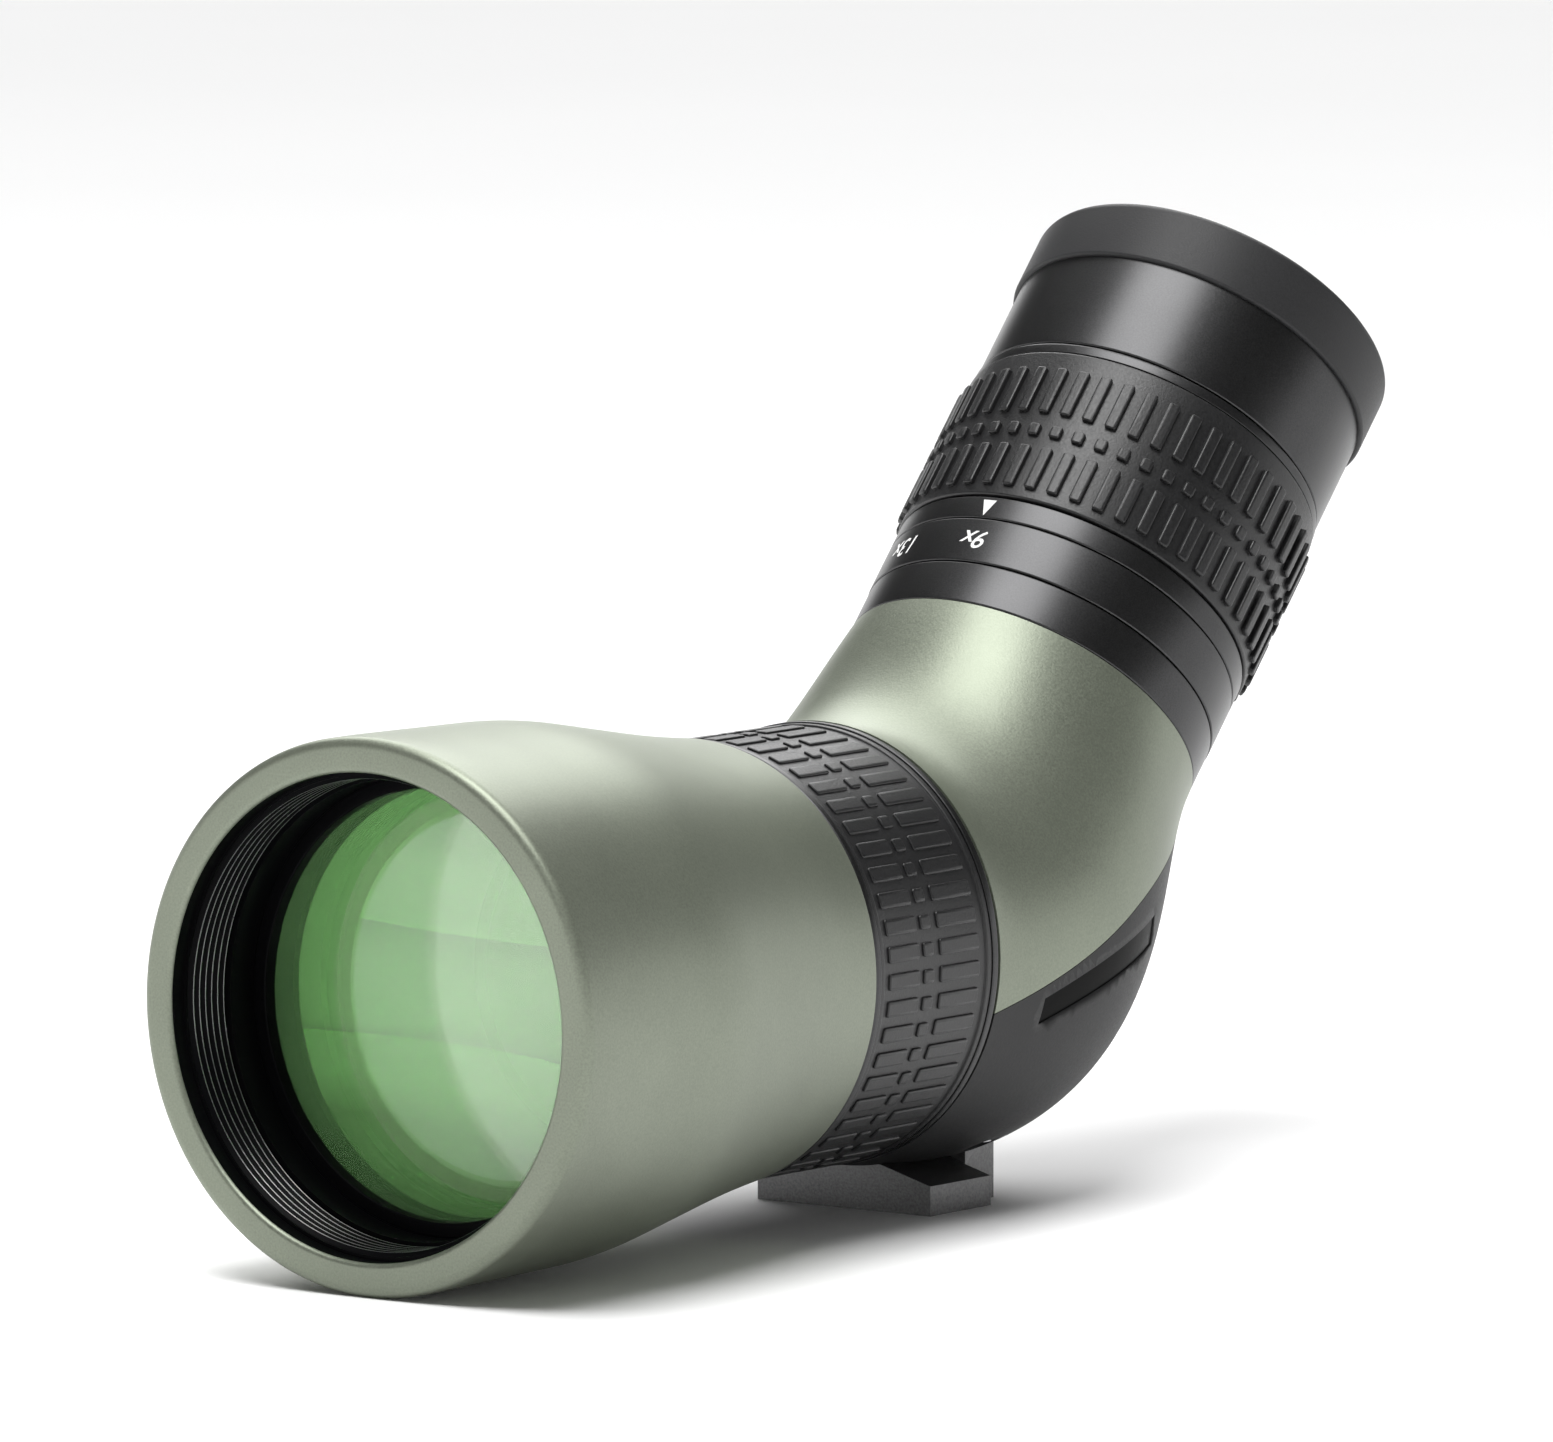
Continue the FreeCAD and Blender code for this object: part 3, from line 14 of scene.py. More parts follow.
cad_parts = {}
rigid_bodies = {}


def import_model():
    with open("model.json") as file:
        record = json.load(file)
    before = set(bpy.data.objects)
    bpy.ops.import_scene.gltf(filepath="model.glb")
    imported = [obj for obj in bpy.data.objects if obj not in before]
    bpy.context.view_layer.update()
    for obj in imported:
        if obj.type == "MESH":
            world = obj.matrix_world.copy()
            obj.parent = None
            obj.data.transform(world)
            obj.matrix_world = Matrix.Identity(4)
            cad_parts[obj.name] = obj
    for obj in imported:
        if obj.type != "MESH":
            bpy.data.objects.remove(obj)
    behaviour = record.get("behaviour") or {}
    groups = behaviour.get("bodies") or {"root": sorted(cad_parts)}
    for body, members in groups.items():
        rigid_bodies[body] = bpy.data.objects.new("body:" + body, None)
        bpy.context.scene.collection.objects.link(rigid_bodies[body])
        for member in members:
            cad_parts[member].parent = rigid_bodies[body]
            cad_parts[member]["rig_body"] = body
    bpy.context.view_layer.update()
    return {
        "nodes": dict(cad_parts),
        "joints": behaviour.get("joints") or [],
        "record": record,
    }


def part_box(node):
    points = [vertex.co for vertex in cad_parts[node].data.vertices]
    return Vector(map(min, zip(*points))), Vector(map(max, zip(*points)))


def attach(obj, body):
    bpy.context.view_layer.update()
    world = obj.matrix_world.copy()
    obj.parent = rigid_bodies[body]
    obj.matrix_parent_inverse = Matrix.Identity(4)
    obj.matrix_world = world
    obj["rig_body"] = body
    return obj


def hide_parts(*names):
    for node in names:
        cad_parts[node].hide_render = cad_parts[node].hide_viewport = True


MM = 0.001
STEPS = 224
GRAIN_SHARE = 0.75

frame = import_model()
record = frame["record"]
JOINTS = {joint["name"]: joint for joint in frame["joints"]}
SLOTS = {part["node"]: part["material_slot"] for part in record["subparts"]}


def local_frame(origin, axis):
    """Matrix from millimetres about an axis, with local x along +X, to the row frame in metres."""
    z = Vector(axis).normalized()
    x = Vector((1, 0, 0))
    turn = Matrix((x, z.cross(x), z)).transposed().to_4x4()
    return Matrix.Translation(Vector(origin)) @ turn @ Matrix.Scale(MM, 4)


rim_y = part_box("objective_barrel")[0].y
OPTICAL = local_frame((0, rim_y, JOINTS["focus_turn"]["pos_m"][2]), JOINTS["focus_turn"]["axis"])
EYEPIECE = local_frame(JOINTS["zoom_turn"]["pos_m"], JOINTS["zoom_turn"]["axis"])


# ---------------------------------------------------------------- materials
class Nodes:
    """Small helper that builds one material's node tree."""

    def __init__(self, name):
        self.material = bpy.data.materials.new(name)
        self.material.use_nodes = True
        self.tree = self.material.node_tree
        self.tree.nodes.clear()
        self.out = self.add("ShaderNodeOutputMaterial")
        self.point = self.add("ShaderNodeTexCoord").outputs["Object"]

    def add(self, kind, **values):
        item = self.tree.nodes.new(kind)
        for key, value in values.items():
            if key.startswith("in_"):
                item.inputs[key[3:].replace("_", " ")].default_value = value
            else:
                setattr(item, key, value)
        return item

    def link(self, source, target):
        self.tree.links.new(source, target)

    def noise(self, size_mm, detail=2.0, stretch=None):
        """Noise whose blobs are about size_mm across."""
        texture = self.add("ShaderNodeTexNoise", in_Scale=1.0 / (size_mm * MM), in_Detail=detail)
        if stretch:
            mapping = self.add("ShaderNodeMapping", in_Scale=stretch)
            self.link(self.point, mapping.inputs["Vector"])
            self.link(mapping.outputs["Vector"], texture.inputs["Vector"])
        else:
            self.link(self.point, texture.inputs["Vector"])
        return texture.outputs["Fac"]

    def ramp(self, source, stops):
        """Colour ramp through (place, colour) stops, where a colour may be one grey number."""
        ramp = self.add("ShaderNodeValToRGB")
        elements = ramp.color_ramp.elements
        while len(elements) < len(stops):
            elements.new(0.5)
        for element, (place, colour) in zip(elements, stops):
            element.position = place
            element.color = (*colour, 1) if hasattr(colour, "__len__") else (colour, colour, colour, 1)
        self.link(source, ramp.inputs["Fac"])
        return ramp.outputs["Color"]

    def principled(self, **values):
        shader = self.add("ShaderNodeBsdfPrincipled", **values)
        self.link(shader.outputs["BSDF"], self.out.inputs["Surface"])
        return shader

    def bump(self, shader, height, depth_mm, strength=1.0):
        bump = self.add("ShaderNodeBump", in_Strength=strength, in_Distance=depth_mm * MM)
        self.link(height, bump.inputs["Height"])
        self.link(bump.outputs["Normal"], shader.inputs["Normal"])


def tones(colour, spread):
    """Darker and lighter neighbours of a colour."""
    dark = tuple(channel * (1 - spread) for channel in colour[:3])
    light = tuple(channel * (1 + spread) for channel in colour[:3])
    return dark, light


def finish(name, colour, grain_mm, spread, roughness, rough_spread, bump_mm, metallic=0.0,
           blotch_mm=14.0, **extra):
    """Painted, moulded or machined surface: fine grain, slow blotches and uneven gloss.

    Each spread is how far a tone or the roughness strays from its middle value.
    """
    n = Nodes(name)
    dark, light = tones(colour, spread)
    grain = n.noise(grain_mm, 3.0)
    blotch = n.noise(blotch_mm, 2.0)
    mixed = n.add("ShaderNodeMath", operation="MULTIPLY_ADD")
    n.link(grain, mixed.inputs[0])
    mixed.inputs[1].default_value = GRAIN_SHARE
    softened = n.add("ShaderNodeMath", operation="MULTIPLY")
    n.link(blotch, softened.inputs[0])
    softened.inputs[1].default_value = 1 - GRAIN_SHARE
    n.link(softened.outputs[0], mixed.inputs[2])
    shader = n.principled(in_Metallic=metallic, **extra)
    n.link(n.ramp(mixed.outputs[0], [(0.35, dark), (0.65, light)]), shader.inputs["Base Color"])
    rough = n.ramp(grain, [(0.3, roughness - rough_spread), (0.7, roughness + rough_spread)])
    n.link(rough, shader.inputs["Roughness"])
    n.bump(shader, grain, bump_mm)
    return n.material


def brushed(name, colour, roughness):
    """Turned metal with fine lines round the part."""
    n = Nodes(name)
    dark, light = tones(colour, 0.2)
    lines = n.noise(0.6, 4.0, stretch=(0.15, 6.0, 6.0))
    shader = n.principled(in_Metallic=1.0, in_Roughness=roughness)
    n.link(n.ramp(lines, [(0.3, dark), (0.7, light)]), shader.inputs["Base Color"])
    n.bump(shader, lines, 0.01)
    return n.material


def coated_glass(name, veil, sheen):
    """One coated lens surface: a tinted veil and a faint mirror image, added to whatever lies behind."""
    n = Nodes(name)
    dark, light = tones(veil, 0.04)
    haze = n.add("ShaderNodeBsdfDiffuse")
    n.link(n.ramp(n.noise(11.0, 1.0), [(0.3, dark), (0.7, light)]), haze.inputs["Color"])
    gloss = n.add("ShaderNodeBsdfGlossy", in_Roughness=0.02, in_Color=(*sheen, 1))
    coat = n.add("ShaderNodeAddShader")
    n.link(haze.outputs["BSDF"], coat.inputs[0])
    n.link(gloss.outputs["BSDF"], coat.inputs[1])
    clear = n.add("ShaderNodeBsdfTransparent", in_Color=(0.95, 0.96, 0.95, 1))
    both = n.add("ShaderNodeAddShader")
    n.link(clear.outputs["BSDF"], both.inputs[0])
    n.link(coat.outputs["Shader"], both.inputs[1])
    n.link(both.outputs["Shader"], n.out.inputs["Surface"])
    return n.material


def lens_glass(name, tint):
    n = Nodes(name)
    shader = n.principled(in_Roughness=0.03, in_IOR=1.5)
    shader.inputs["Transmission Weight"].default_value = 0.9
    dark, light = tones(tint, 0.04)
    n.link(n.ramp(n.noise(6.0), [(0.3, dark), (0.7, light)]), shader.inputs["Base Color"])
    return n.material


GREEN = (0.200, 0.222, 0.173)
MATERIALS = {
    "body_paint": finish("green_metallic_paint", GREEN, 0.30, 0.13, 0.42, 0.05, 0.020, metallic=0.68),
    "satin_black": finish("satin_black", (0.058, 0.058, 0.059), 0.20, 0.16, 0.34, 0.04, 0.004,
                          metallic=0.97),
    "black_anodised": finish("black_anodised", (0.0025, 0.0025, 0.003), 0.3, 0.2, 0.40, 0.06, 0.006,
                             in_Specular_IOR_Level=0.03),
    "grip_rubber": finish("grip_rubber", (0.009, 0.009, 0.0095), 0.30, 0.22, 0.40, 0.07, 0.030),
    "eyecup_rubber_material": finish("eyecup_rubber", (0.020, 0.020, 0.021), 0.25, 0.15, 0.50, 0.05,
                                     0.020, in_Specular_IOR_Level=0.3),
    "cover_plastic": finish("cover_plastic", (0.015, 0.015, 0.0155), 0.35, 0.14, 0.50, 0.05, 0.016,
                            in_Specular_IOR_Level=0.28),
    "foot_paint": finish("foot_paint", (0.120, 0.120, 0.121), 0.35, 0.25, 0.36, 0.06, 0.020,
                         metallic=0.7),
    "plate_black": finish("plate_black", (0.002, 0.002, 0.002), 0.4, 0.2, 0.34, 0.04, 0.004,
                          in_Specular_IOR_Level=0.04),
    "screw_steel": brushed("screw_steel", (0.35, 0.35, 0.36), 0.32),
    "insert_steel": brushed("insert_steel", (0.45, 0.44, 0.42), 0.28),
    "prism_glass": lens_glass("prism_glass", (0.9, 0.95, 0.92)),
    "coated_lens": coated_glass("coated_lens", (0.076, 0.162, 0.060), (0.030, 0.060, 0.025)),
}
# Lighter metal for the shade ring's ridge crests: a painted highlight for the bright lines the crests catch,
# partly real reflection from its metallic shine.
CREST_HIGHLIGHT_METAL = finish("crest_painted_highlight", (0.30, 0.30, 0.31), 0.3, 0.1, 0.30, 0.03, 0.002, metallic=0.9)
WHITE_PRINT = finish("white_print", (0.80, 0.80, 0.79), 0.2, 0.05, 0.5, 0.05, 0.004)
INNER_COATINGS = (coated_glass("inner_coating_green", (0.044, 0.112, 0.030), (0.020, 0.050, 0.015)),
                  coated_glass("inner_coating_rose", (0.100, 0.052, 0.086), (0.040, 0.030, 0.036)),
                  coated_glass("inner_coating_pale", (0.190, 0.160, 0.215), (0.060, 0.060, 0.062)))
EYE_COATING = coated_glass("eye_lens_coating", (0.030, 0.036, 0.066), (0.040, 0.045, 0.080))


# ---------------------------------------------------------------- mesh tools
ARC_TURN = math.radians(9)
ARC_CHORD = 1.6
BEVEL_SHARE = 0.35


def body_of(node):
    return frame["nodes"][node]["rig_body"]


def add_piece(name, bm, nodes, *materials, sharp=35.0, slot=None):
    """Finished object from a bmesh: it rides with and replaces the given nodes, in their slot or another."""
    slot = slot or SLOTS[nodes[0]]
    mesh = bpy.data.meshes.new(name)
    bm.to_mesh(mesh)
    bm.free()
    for polygon in mesh.polygons:
        polygon.use_smooth = True
    mesh.set_sharp_from_angle(angle=math.radians(sharp))
    obj = bpy.data.objects.new(name, mesh)
    bpy.context.scene.collection.objects.link(obj)
    for material in materials or (MATERIALS[slot],):
        mesh.materials.append(material)
    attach(obj, body_of(nodes[0]))
    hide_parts(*nodes)
    return obj


def rounded(corners):
    """Line of (radius, station) points through corners that may each carry a rounding radius."""
    line = []
    count = len(corners)
    for index, corner in enumerate(corners):
        here = Vector(corner[:2])
        size = corner[2] if len(corner) > 2 else 0.0
        if not size:
            line.append(here)
            continue
        before = (Vector(corners[index - 1][:2]) - here).normalized()
        after = (Vector(corners[(index + 1) % count][:2]) - here).normalized()
        half = before.angle(after) / 2
        centre = here + (before + after).normalized() * (size / math.sin(half))
        start = here + before * (size / math.tan(half)) - centre
        turn = start.angle_signed(here + after * (size / math.tan(half)) - centre)
        pieces = max(4, int(abs(turn) / ARC_TURN), int(abs(turn) * size / ARC_CHORD))
        for step in range(pieces + 1):
            spin = -turn * step / pieces
            line.append(centre + Vector((start.x * math.cos(spin) - start.y * math.sin(spin),
                                         start.x * math.sin(spin) + start.y * math.cos(spin))))
    return line


def lathe(bm, place, line, closed=True, steps=STEPS):
    """Spin a line of (radius, station) points all the way round an axis."""
    rings = []
    for radius, station in line:
        rings.append([bm.verts.new(place @ Vector((radius * math.cos(math.tau * i / steps),
                                                   radius * math.sin(math.tau * i / steps), station)))
                      for i in range(steps)])
    pairs = zip(rings, rings[1:] + rings[:1]) if closed else zip(rings, rings[1:])
    for low, high in pairs:
        for i in range(steps):
            j = (i + 1) % steps
            bm.faces.new((low[i], low[j], high[j], high[i]))


def turned(name, place, nodes, corners, *materials, slot=None):
    bm = bmesh.new()
    lathe(bm, place, rounded(corners))
    bmesh.ops.recalc_face_normals(bm, faces=bm.faces)
    return add_piece(name, bm, nodes, *materials, slot=slot)


def lens_surfaces(name, place, node, surfaces, *materials, rings=36):
    """Spherical surfaces (edge radius, edge station, curve, side), each with its own coating."""
    bm = bmesh.new()
    for index, (clear, station, curve, side) in enumerate(surfaces):
        line = []
        for step in range(rings + 1):
            radius = max(clear * step / rings, 0.01)
            rise = math.sqrt(curve ** 2 - radius ** 2) - math.sqrt(curve ** 2 - clear ** 2)
            line.append((radius, station + side * rise))
        made = len(bm.faces)
        lathe(bm, place, line, closed=False)
        for face in list(bm.faces)[made:]:
            face.material_index = index
    return add_piece(name, bm, [node], *materials)


def pad(bm, place, low, high, front, rear, angle, half_width, corner, edge):
    """Raised tablet with round corners and a bevelled top edge, wrapped on a cylinder."""
    outline = []
    half_length = (rear - front) / 2
    steps = 4
    for side, end, start in ((1, 1, 0), (-1, 1, 90), (-1, -1, 180), (1, -1, 270)):
        for step in range(steps + 1):
            turn = math.radians(start + 90 * step / steps)
            outline.append((side * (half_width - corner) + corner * math.cos(turn),
                            end * (half_length - corner) + corner * math.sin(turn)))

    def ring(radius, inset):
        ring_verts = []
        for x, y in outline:
            x *= 1 - inset / half_width
            y *= 1 - inset / half_length
            turn = angle + x / high
            ring_verts.append(bm.verts.new(place @ Vector(
                (radius * math.cos(turn), radius * math.sin(turn), (front + rear) / 2 + y))))
        return ring_verts

    bevel = edge * BEVEL_SHARE
    levels = [(low, 0.0), (high - edge, 0.0), (high - bevel, bevel), (high, edge)]
    rings = [ring(radius, inset) for radius, inset in levels]
    for below, above in zip(rings, rings[1:]):
        for i in range(len(below)):
            j = (i + 1) % len(below)
            bm.faces.new((below[i], below[j], above[j], above[i]))
    top = rings[-1]
    half = len(top) // 2
    for i in range(half - 1):
        bm.faces.new((top[i], top[i + 1], top[-2 - i], top[-1 - i]))


def tablet_rows(bm, place, low, high, rows, count, phase, corner, edge):
    """Rows of equal tablets all the way round a grip."""
    for index in range(count):
        angle = math.radians(phase) + math.tau * index / count
        for front, rear, half_width in rows:
            pad(bm, place, low, high, front, rear, angle, half_width, corner, edge)


def smooth_copy(name, node, bevel_mm=0.0, sharp=28.0):
    """Stand-in for a CAD node with the same shape, smooth shading and, if asked, softened edges."""
    bm = bmesh.new()
    bm.from_mesh(frame["nodes"][node].data)
    bmesh.ops.remove_doubles(bm, verts=bm.verts, dist=1e-6)
    obj = add_piece(name, bm, [node], sharp=sharp)
    if bevel_mm:
        bevel = obj.modifiers.new("edges", "BEVEL")
        bevel.width = bevel_mm * MM
        bevel.segments = 3
        bevel.limit_method = "ANGLE"
        bevel.angle_limit = math.radians(40)
        bevel.harden_normals = True
    return obj


def print_on(name, place, node, text, radius, station, angle, height):
    """Number printed round a ring, read from the objective's side, as a thin wrapped mesh."""
    curve = bpy.data.curves.new(name, "FONT")
    curve.body = text
    curve.size = height
    curve.shear = 0.25
    curve.offset = 0.03
    curve.align_x = "CENTER"
    curve.align_y = "CENTER"
    curve.resolution_u = 4
    writer = bpy.data.objects.new(name + "_writer", curve)
    bpy.context.scene.collection.objects.link(writer)
    bpy.context.view_layer.update()
    flat = bpy.data.meshes.new_from_object(writer.evaluated_get(bpy.context.evaluated_depsgraph_get()))
    bpy.data.objects.remove(writer)
    bm = bmesh.new()
    bm.from_mesh(flat)
    wrap(bm, place, radius, station, angle)
    return label(name, bm, node)


def wrap(bm, place, radius, station, angle):
    """Lay a flat drawing on a cylinder with its top towards the body."""
    for vert in bm.verts:
        turn = math.radians(angle) - vert.co.x / radius
        vert.co = place @ Vector((radius * math.cos(turn), radius * math.sin(turn),
                                  station - vert.co.y))


def label(name, bm, node):
    mesh = bpy.data.meshes.new(name)
    bm.to_mesh(mesh)
    bm.free()
    mesh.materials.append(WHITE_PRINT)
    obj = bpy.data.objects.new(name, mesh)
    bpy.context.scene.collection.objects.link(obj)
    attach(obj, body_of(node))
    return obj


# ---------------------------------------------------------------- objective end
RIM_RADIUS = 36.0
MOUTH_RADIUS = 31.4
MOUTH_ROUND = 0.8
CELL_SEAT = 31.7
BLACK_START = 0.6
BARREL_BORE = 28.6
TUBE_SEAT = 56.0
TUBE_RADIUS = 26.25
BARREL_END = 70.6
# radius, station and curve of the two bends in the barrel's outline
SHOULDER = (35.47, 33.2, 75.0)
WAIST = (30.6, 61.5, 240.0)
SHADE_FRONT, SHADE_REAR = 2.7, 15.4
SHADE_RADIUS = 31.35
SHADE_LIP_RADIUS = 29.9
RIDGE_START, RIDGE_PITCH, RIDGE_COUNT = 3.0, 1.25, 6
RIDGE_FOOT_RADIUS = 30.9
RIDGES_END = 10.5
CREST_RADIUS = 30.3
CREST_WIDTH = 0.10
GLASS_CLEAR = 28.0
GLASS_FRONT = 17.5


def repaint(piece, material, chosen):
    """Second material for the faces of a turned piece whose (radius, station) is chosen."""
    piece.data.materials.append(material)
    to_local = OPTICAL.inverted()
    for polygon in piece.data.polygons:
        centre = to_local @ polygon.center
        if chosen(math.hypot(centre.x, centre.y), centre.z):
            polygon.material_index = 1


def objective_end():
    shell = turned("barrel_shell", OPTICAL, ["objective_barrel"], [
        (MOUTH_RADIUS, 0, MOUTH_ROUND), (RIM_RADIUS, 0, 1.5), (RIM_RADIUS, 6.0, 18.0), SHOULDER, WAIST,
        (29.65, BARREL_END, 0.35),
        (TUBE_RADIUS, BARREL_END), (TUBE_RADIUS, TUBE_SEAT), (BARREL_BORE, TUBE_SEAT),
        (BARREL_BORE, CELL_SEAT), (MOUTH_RADIUS, CELL_SEAT)])
    repaint(shell, MATERIALS["black_anodised"],
            lambda radius, station: radius < MOUTH_RADIUS + 0.05 and BLACK_START < station < CELL_SEAT)
    ridges = [(SHADE_RADIUS, SHADE_FRONT), (SHADE_RADIUS, SHADE_REAR),
              (SHADE_LIP_RADIUS, SHADE_REAR, 0.1), (SHADE_LIP_RADIUS, RIDGES_END),
              (RIDGE_FOOT_RADIUS, RIDGES_END)]
    for number in reversed(range(RIDGE_COUNT)):
        foot = RIDGE_START + RIDGE_PITCH * number
        ridges += [(CREST_RADIUS, foot + RIDGE_PITCH / 2, 0.14), (RIDGE_FOOT_RADIUS, foot, 0.05)]
    ridges += [(RIDGE_FOOT_RADIUS, SHADE_FRONT)]
    lining = turned("shade_ring_lining", OPTICAL, ["shade_ring"], ridges)
    # The ridge crests take the lighter metal: painted highlight lines, partly real reflection.
    repaint(lining, CREST_HIGHLIGHT_METAL,
            lambda radius, station: radius < CREST_RADIUS + CREST_WIDTH and station < RIDGES_END - 0.1)
    ring_front, ring_radius = 15.5, 29.85
    turned("retaining_ring_face", OPTICAL, ["objective_retaining_ring"], [
        (GLASS_CLEAR, ring_front, 0.25), (ring_radius, ring_front, 0.1), (ring_radius, GLASS_FRONT),
        (GLASS_CLEAR, GLASS_FRONT)])
    lens_surfaces("crown_glass", OPTICAL, "crown_lens",
                  [(GLASS_CLEAR, GLASS_FRONT, 130.0, -1), (GLASS_CLEAR, 22.5, 85.0, 1)],
                  MATERIALS["coated_lens"], INNER_COATINGS[0])
    # the second surface is a zone of reflection only: it has no surface of its own in the CAD
    lens_surfaces("flint_glass", OPTICAL, "flint_lens",
                  [(26.6, 28.3, 400.0, 1), (24.0, 29.0, 500.0, 1)], *INNER_COATINGS[1:])


# ---------------------------------------------------------------- focus ring
FOCUS_BORE = 26.65
FOCUS_FLANGE_RADIUS = 29.5
FOCUS_SEAT_RADIUS = 27.95
FOCUS_STATIONS = (70.8, 98.1)
FOCUS_SEAT_STATIONS = (71.9, 96.8)
# front and rear station and half width of each tablet in a group
FOCUS_TABLETS = ((74.1, 80.7, 1.1), (81.75, 83.85, 0.95), (85.4, 94.0, 1.1))
FOCUS_TABLET_COUNT = 51


def focus_ring():
    front, rear = FOCUS_STATIONS
    seat_front, seat_rear = FOCUS_SEAT_STATIONS
    turned("focus_ring_metal", OPTICAL, ["focus_ring"], [
        (FOCUS_BORE, front), (FOCUS_FLANGE_RADIUS, front, 0.45), (FOCUS_FLANGE_RADIUS, seat_front, 0.15),
        (FOCUS_SEAT_RADIUS, seat_front), (FOCUS_SEAT_RADIUS, seat_rear),
        (FOCUS_FLANGE_RADIUS, seat_rear, 0.2), (FOCUS_FLANGE_RADIUS, rear, 0.45),
        (FOCUS_BORE, rear)], slot="satin_black")
    bm = bmesh.new()
    base, top = 28.98, 29.3
    lathe(bm, OPTICAL, rounded([
        (FOCUS_SEAT_RADIUS, seat_front), (top, 71.95, 0.25), (top, 72.9, 0.25), (base, 73.0, 0.1),
        (base, 95.6, 0.1), (top, 95.7, 0.25), (top, 96.75, 0.25), (FOCUS_SEAT_RADIUS, seat_rear)]))
    bmesh.ops.recalc_face_normals(bm, faces=bm.faces)
    tablet_rows(bm, OPTICAL, base - 0.1, top, FOCUS_TABLETS, FOCUS_TABLET_COUNT,
                phase=1.5, corner=0.35, edge=0.16)
    add_piece("focus_grip_rubber", bm, ["focus_grip"], sharp=25)


# ---------------------------------------------------------------- prism housing
def housing_and_foot():
    smooth_copy("housing_shell", "prism_housing")
    smooth_copy("cover_shell", "lower_cover")
    smooth_copy("blank_nameplate", "nameplate")
    smooth_copy("foot_block", "foot", bevel_mm=0.3)


# ---------------------------------------------------------------- eyepiece
MOUNT_RADIUS = 25.2
BAND_RADIUS = 25.3
PRINT_RADIUS = 25.33
SLEEVE_BORE = 21.45
ZOOM_BORE = 23.25
ZOOM_SEAT_RADIUS = 24.6
INDEX_ANGLE = -88.5
INDEX_HALF_WIDTH, INDEX_HALF_HEIGHT = 1.05, 1.3
DIAL = (("9x", -87.0), ("13x", -118.0), ("18x", -145.5), ("27x", -180.0))
DIAL_STATION = 46.1
DIAL_HEIGHT = 4.0
ZOOM_TABLETS = ((54.9, 61.6, 0.84), (63.4, 65.2, 0.84), (67.2, 74.5, 0.84))
ZOOM_TABLET_COUNT = 49


def eyepiece_rings():
    turned("mount_collar", EYEPIECE, ["eyepiece_mount"], [
        (20.4, 29.0), (SLEEVE_BORE, 29.0), (SLEEVE_BORE, 35.95), (MOUNT_RADIUS, 35.95, 0.3),
        (MOUNT_RADIUS, 42.3, 0.3), (SLEEVE_BORE, 42.3), (SLEEVE_BORE, 49.5), (20.4, 49.5)])
    turned("scale_band", EYEPIECE, ["scale_ring"], [
        (21.5, 42.4), (BAND_RADIUS, 42.4, 0.25), (BAND_RADIUS, 49.45, 0.25), (21.5, 49.45)])
    for text, angle in DIAL:
        print_on("dial_" + text, EYEPIECE, "scale_ring", text, PRINT_RADIUS, DIAL_STATION, angle,
                 DIAL_HEIGHT)
    turned("zoom_ring_metal", EYEPIECE, ["zoom_ring"], [
        (ZOOM_BORE, 49.6), (BAND_RADIUS, 49.6, 0.25), (BAND_RADIUS, 53.0, 0.2),
        (ZOOM_SEAT_RADIUS, 53.3), (ZOOM_SEAT_RADIUS, 77.6), (25.35, 77.65, 0.1), (25.35, 79.2, 0.4),
        (ZOOM_BORE, 79.2)])
    triangle = bmesh.new()
    corners = [triangle.verts.new(co) for co in (
        (-INDEX_HALF_WIDTH, -INDEX_HALF_HEIGHT, 0), (INDEX_HALF_WIDTH, -INDEX_HALF_HEIGHT, 0),
        (0, INDEX_HALF_HEIGHT, 0))]
    triangle.faces.new(corners)
    wrap(triangle, EYEPIECE, PRINT_RADIUS, 51.2, INDEX_ANGLE)
    label("index_triangle", triangle, "zoom_ring")
    bm = bmesh.new()
    base, top = 25.55, 26.25
    lathe(bm, EYEPIECE, rounded([
        (ZOOM_SEAT_RADIUS, 53.35), (base, 53.4, 0.35), (base, 77.5, 0.35), (ZOOM_SEAT_RADIUS, 77.55)]))
    bmesh.ops.recalc_face_normals(bm, faces=bm.faces)
    tablet_rows(bm, EYEPIECE, base - 0.1, top, ZOOM_TABLETS, ZOOM_TABLET_COUNT,
                phase=-69.9, corner=0.35, edge=0.2)
    add_piece("zoom_grip_rubber", bm, ["zoom_grip"], sharp=25)


EYE_CLEAR = 16.0
EYE_GLASS_TOP = 92.2
EYE_CELL_TOP = 94.4
CUP_STEP = 94.15
CUP_STEP_RADIUS = 24.5
CUP_END = 102.0


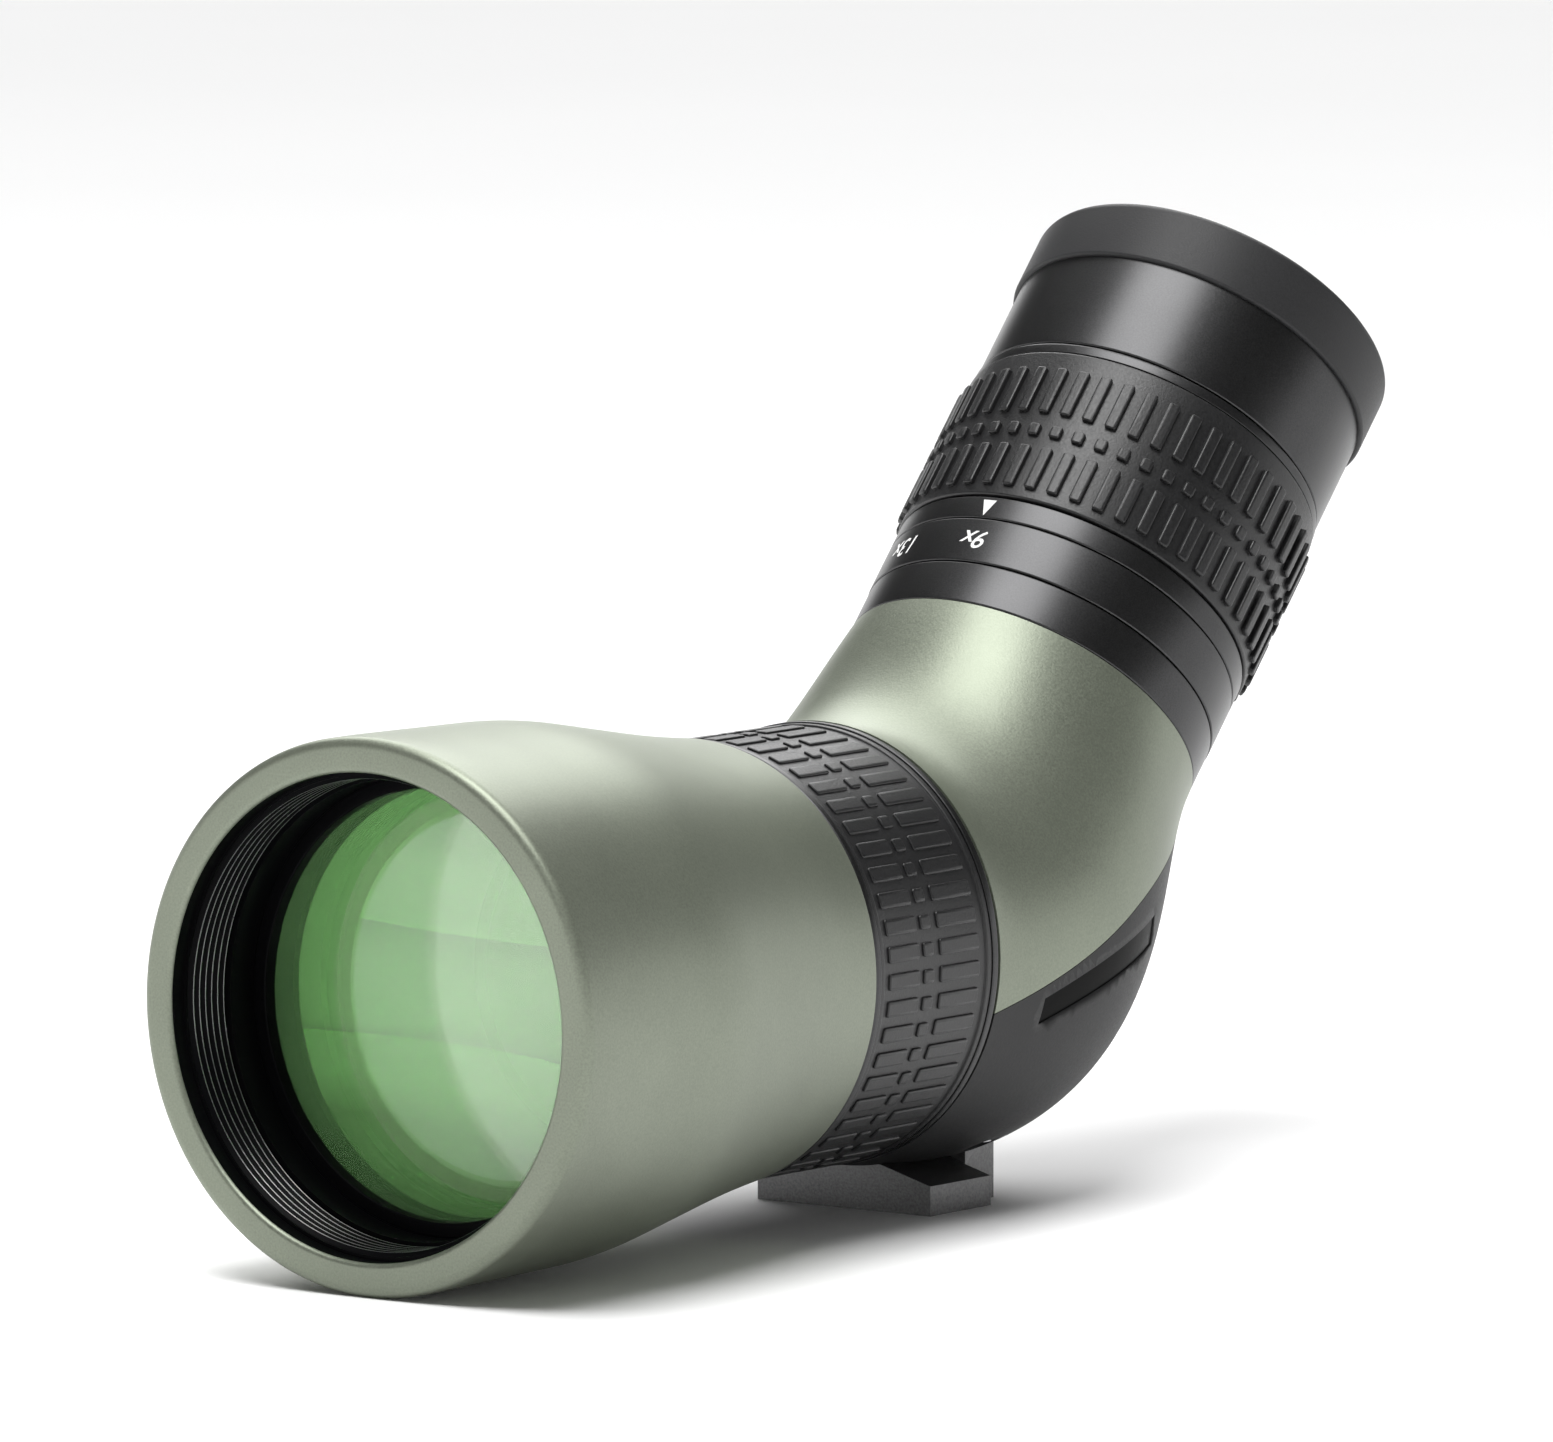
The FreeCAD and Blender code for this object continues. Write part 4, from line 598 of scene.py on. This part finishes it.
def eyepiece_top():
    turned("inner_barrel", EYEPIECE, ["eyepiece_barrel"], [
        (18.95, 40.0), (20.35, 40.0), (20.35, 49.55), (23.2, 49.55), (23.2, 93.0, 0.2), (20.7, 93.0),
        (20.7, 50.6), (18.95, 50.6)])
    turned("eye_cell_face", EYEPIECE, ["eye_lens_cell"], [
        (EYE_CLEAR, 84.6), (20.65, 84.6), (20.65, 93.05), (22.9, 93.05), (22.9, EYE_CELL_TOP, 0.4),
        (17.1, EYE_CELL_TOP, 0.15), (17.1, 86.0), (EYE_CLEAR, 86.0)])
    turned("eye_lens_ring_face", EYEPIECE, ["eye_lens_ring"], [
        (EYE_CLEAR, EYE_GLASS_TOP), (17.05, EYE_GLASS_TOP), (17.05, EYE_CELL_TOP, 0.1),
        (EYE_CLEAR, 94.0, 0.2)])
    lens_surfaces("eye_lens_glass", EYEPIECE, "eye_lens",
                  [(EYE_CLEAR, EYE_GLASS_TOP, 62.0, 1), (EYE_CLEAR, 90.7, 200.0, -1)],
                  EYE_COATING, EYE_COATING)
    turned("eyecup_tube", EYEPIECE, ["eyecup_sleeve"], [
        (23.25, 79.4), (25.15, 79.4, 0.3), (25.15, CUP_STEP, 0.1), (CUP_STEP_RADIUS, CUP_STEP),
        (CUP_STEP_RADIUS, CUP_END), (20.5, CUP_END), (20.5, 101.0), (23.25, 101.0)])
    turned("eyecup_lip", EYEPIECE, ["eyecup_rubber"], [
        (CUP_STEP_RADIUS, CUP_STEP), (25.8, CUP_STEP, 0.45), (25.8, 103.3, 1.2), (19.5, 103.3, 0.6),
        (19.5, CUP_END), (CUP_STEP_RADIUS, CUP_END)])


def dress_remaining_nodes():
    """Give every CAD node that still shows the material of its slot."""
    for name, obj in frame["nodes"].items():
        if not obj.hide_render:
            for slot in obj.material_slots:
                slot.material = MATERIALS[SLOTS[name]]


# ---------------------------------------------------------------- stage
FLOOR_SIZE = 14.0
FLOOR_TONES = (0.91, 0.93)
CAMERA_AT = Vector((1.2419, -1.7097, 0.2948))
CAMERA_AZIMUTH = math.radians(36.40)
CAMERA_ELEVATION = math.radians(6.23)
SENSOR_MM = 36.0
LENS_MM = 370.9
REAR_FROM = Vector((-0.75, 1.05, 1.45))
REAR_STRENGTH = 2.7
REAR_SPREAD = 54.0
TOP_AT = Vector((0.12, -0.48, 1.50))
TOP_SIZE = 1.0
WORLD_STRENGTH = 4.8
# grey of the surroundings by the sine of the elevation above the horizon
WORLD_LEVELS = ((0.0, 0.36), (0.10, 0.36), (0.21, 0.018), (0.66, 0.018), (0.90, 0.09), (1.0, 0.10))
TOP_WATTS = 26.0


def stage():
    mesh = bpy.data.meshes.new("floor")
    bm = bmesh.new()
    bmesh.ops.create_grid(bm, x_segments=8, y_segments=8, size=FLOOR_SIZE)
    bm.to_mesh(mesh)
    bm.free()
    floor = bpy.data.objects.new("floor", mesh)
    bpy.context.scene.collection.objects.link(floor)
    n = Nodes("pale_floor")
    diffuse = n.add("ShaderNodeBsdfDiffuse")
    dark, light = FLOOR_TONES
    n.link(n.ramp(n.noise(400.0), [(0.3, dark), (0.7, light)]), diffuse.inputs["Color"])
    n.link(diffuse.outputs["BSDF"], n.out.inputs["Surface"])
    mesh.materials.append(n.material)


def studio_light():
    """Pale horizon and ceiling with darkness between them, one big rear light and a top light."""
    world = bpy.data.worlds.new("studio")
    bpy.context.scene.world = world
    world.use_nodes = True
    tree = world.node_tree
    tree.nodes.clear()
    coordinates = tree.nodes.new("ShaderNodeTexCoord")
    split = tree.nodes.new("ShaderNodeSeparateXYZ")
    tree.links.new(coordinates.outputs["Generated"], split.inputs["Vector"])
    ramp = tree.nodes.new("ShaderNodeValToRGB")
    elements = ramp.color_ramp.elements
    while len(elements) < len(WORLD_LEVELS):
        elements.new(0.5)
    for element, (place, grey) in zip(elements, WORLD_LEVELS):
        element.position = place
        element.color = (grey, grey, grey, 1)
    tree.links.new(split.outputs["Z"], ramp.inputs["Fac"])
    background = tree.nodes.new("ShaderNodeBackground")
    background.inputs["Strength"].default_value = WORLD_STRENGTH
    tree.links.new(ramp.outputs["Color"], background.inputs["Color"])
    out = tree.nodes.new("ShaderNodeOutputWorld")
    tree.links.new(background.outputs["Background"], out.inputs["Surface"])
    rear = bpy.data.lights.new("rear_light", "SUN")
    rear.energy = REAR_STRENGTH
    rear.angle = math.radians(REAR_SPREAD)
    top = bpy.data.lights.new("top_light", "AREA")
    top.size = TOP_SIZE
    top.energy = TOP_WATTS
    for data, place in ((rear, REAR_FROM), (top, TOP_AT)):
        light = bpy.data.objects.new(data.name, data)
        light.location = place
        light.rotation_euler = place.to_track_quat("Z", "Y").to_euler()
        bpy.context.scene.collection.objects.link(light)


def camera():
    data = bpy.data.cameras.new("camera")
    data.sensor_fit = "HORIZONTAL"
    data.sensor_width = SENSOR_MM
    data.lens = LENS_MM
    data.clip_end = 100.0
    obj = bpy.data.objects.new("camera", data)
    obj.location = CAMERA_AT
    obj.rotation_euler = (math.pi / 2 - CAMERA_ELEVATION, 0, CAMERA_AZIMUTH)
    bpy.context.scene.collection.objects.link(obj)
    bpy.context.scene.camera = obj


objective_end()
focus_ring()
housing_and_foot()
eyepiece_rings()
eyepiece_top()
dress_remaining_nodes()
stage()
studio_light()
camera()
bpy.context.scene.view_settings.view_transform = "Standard"
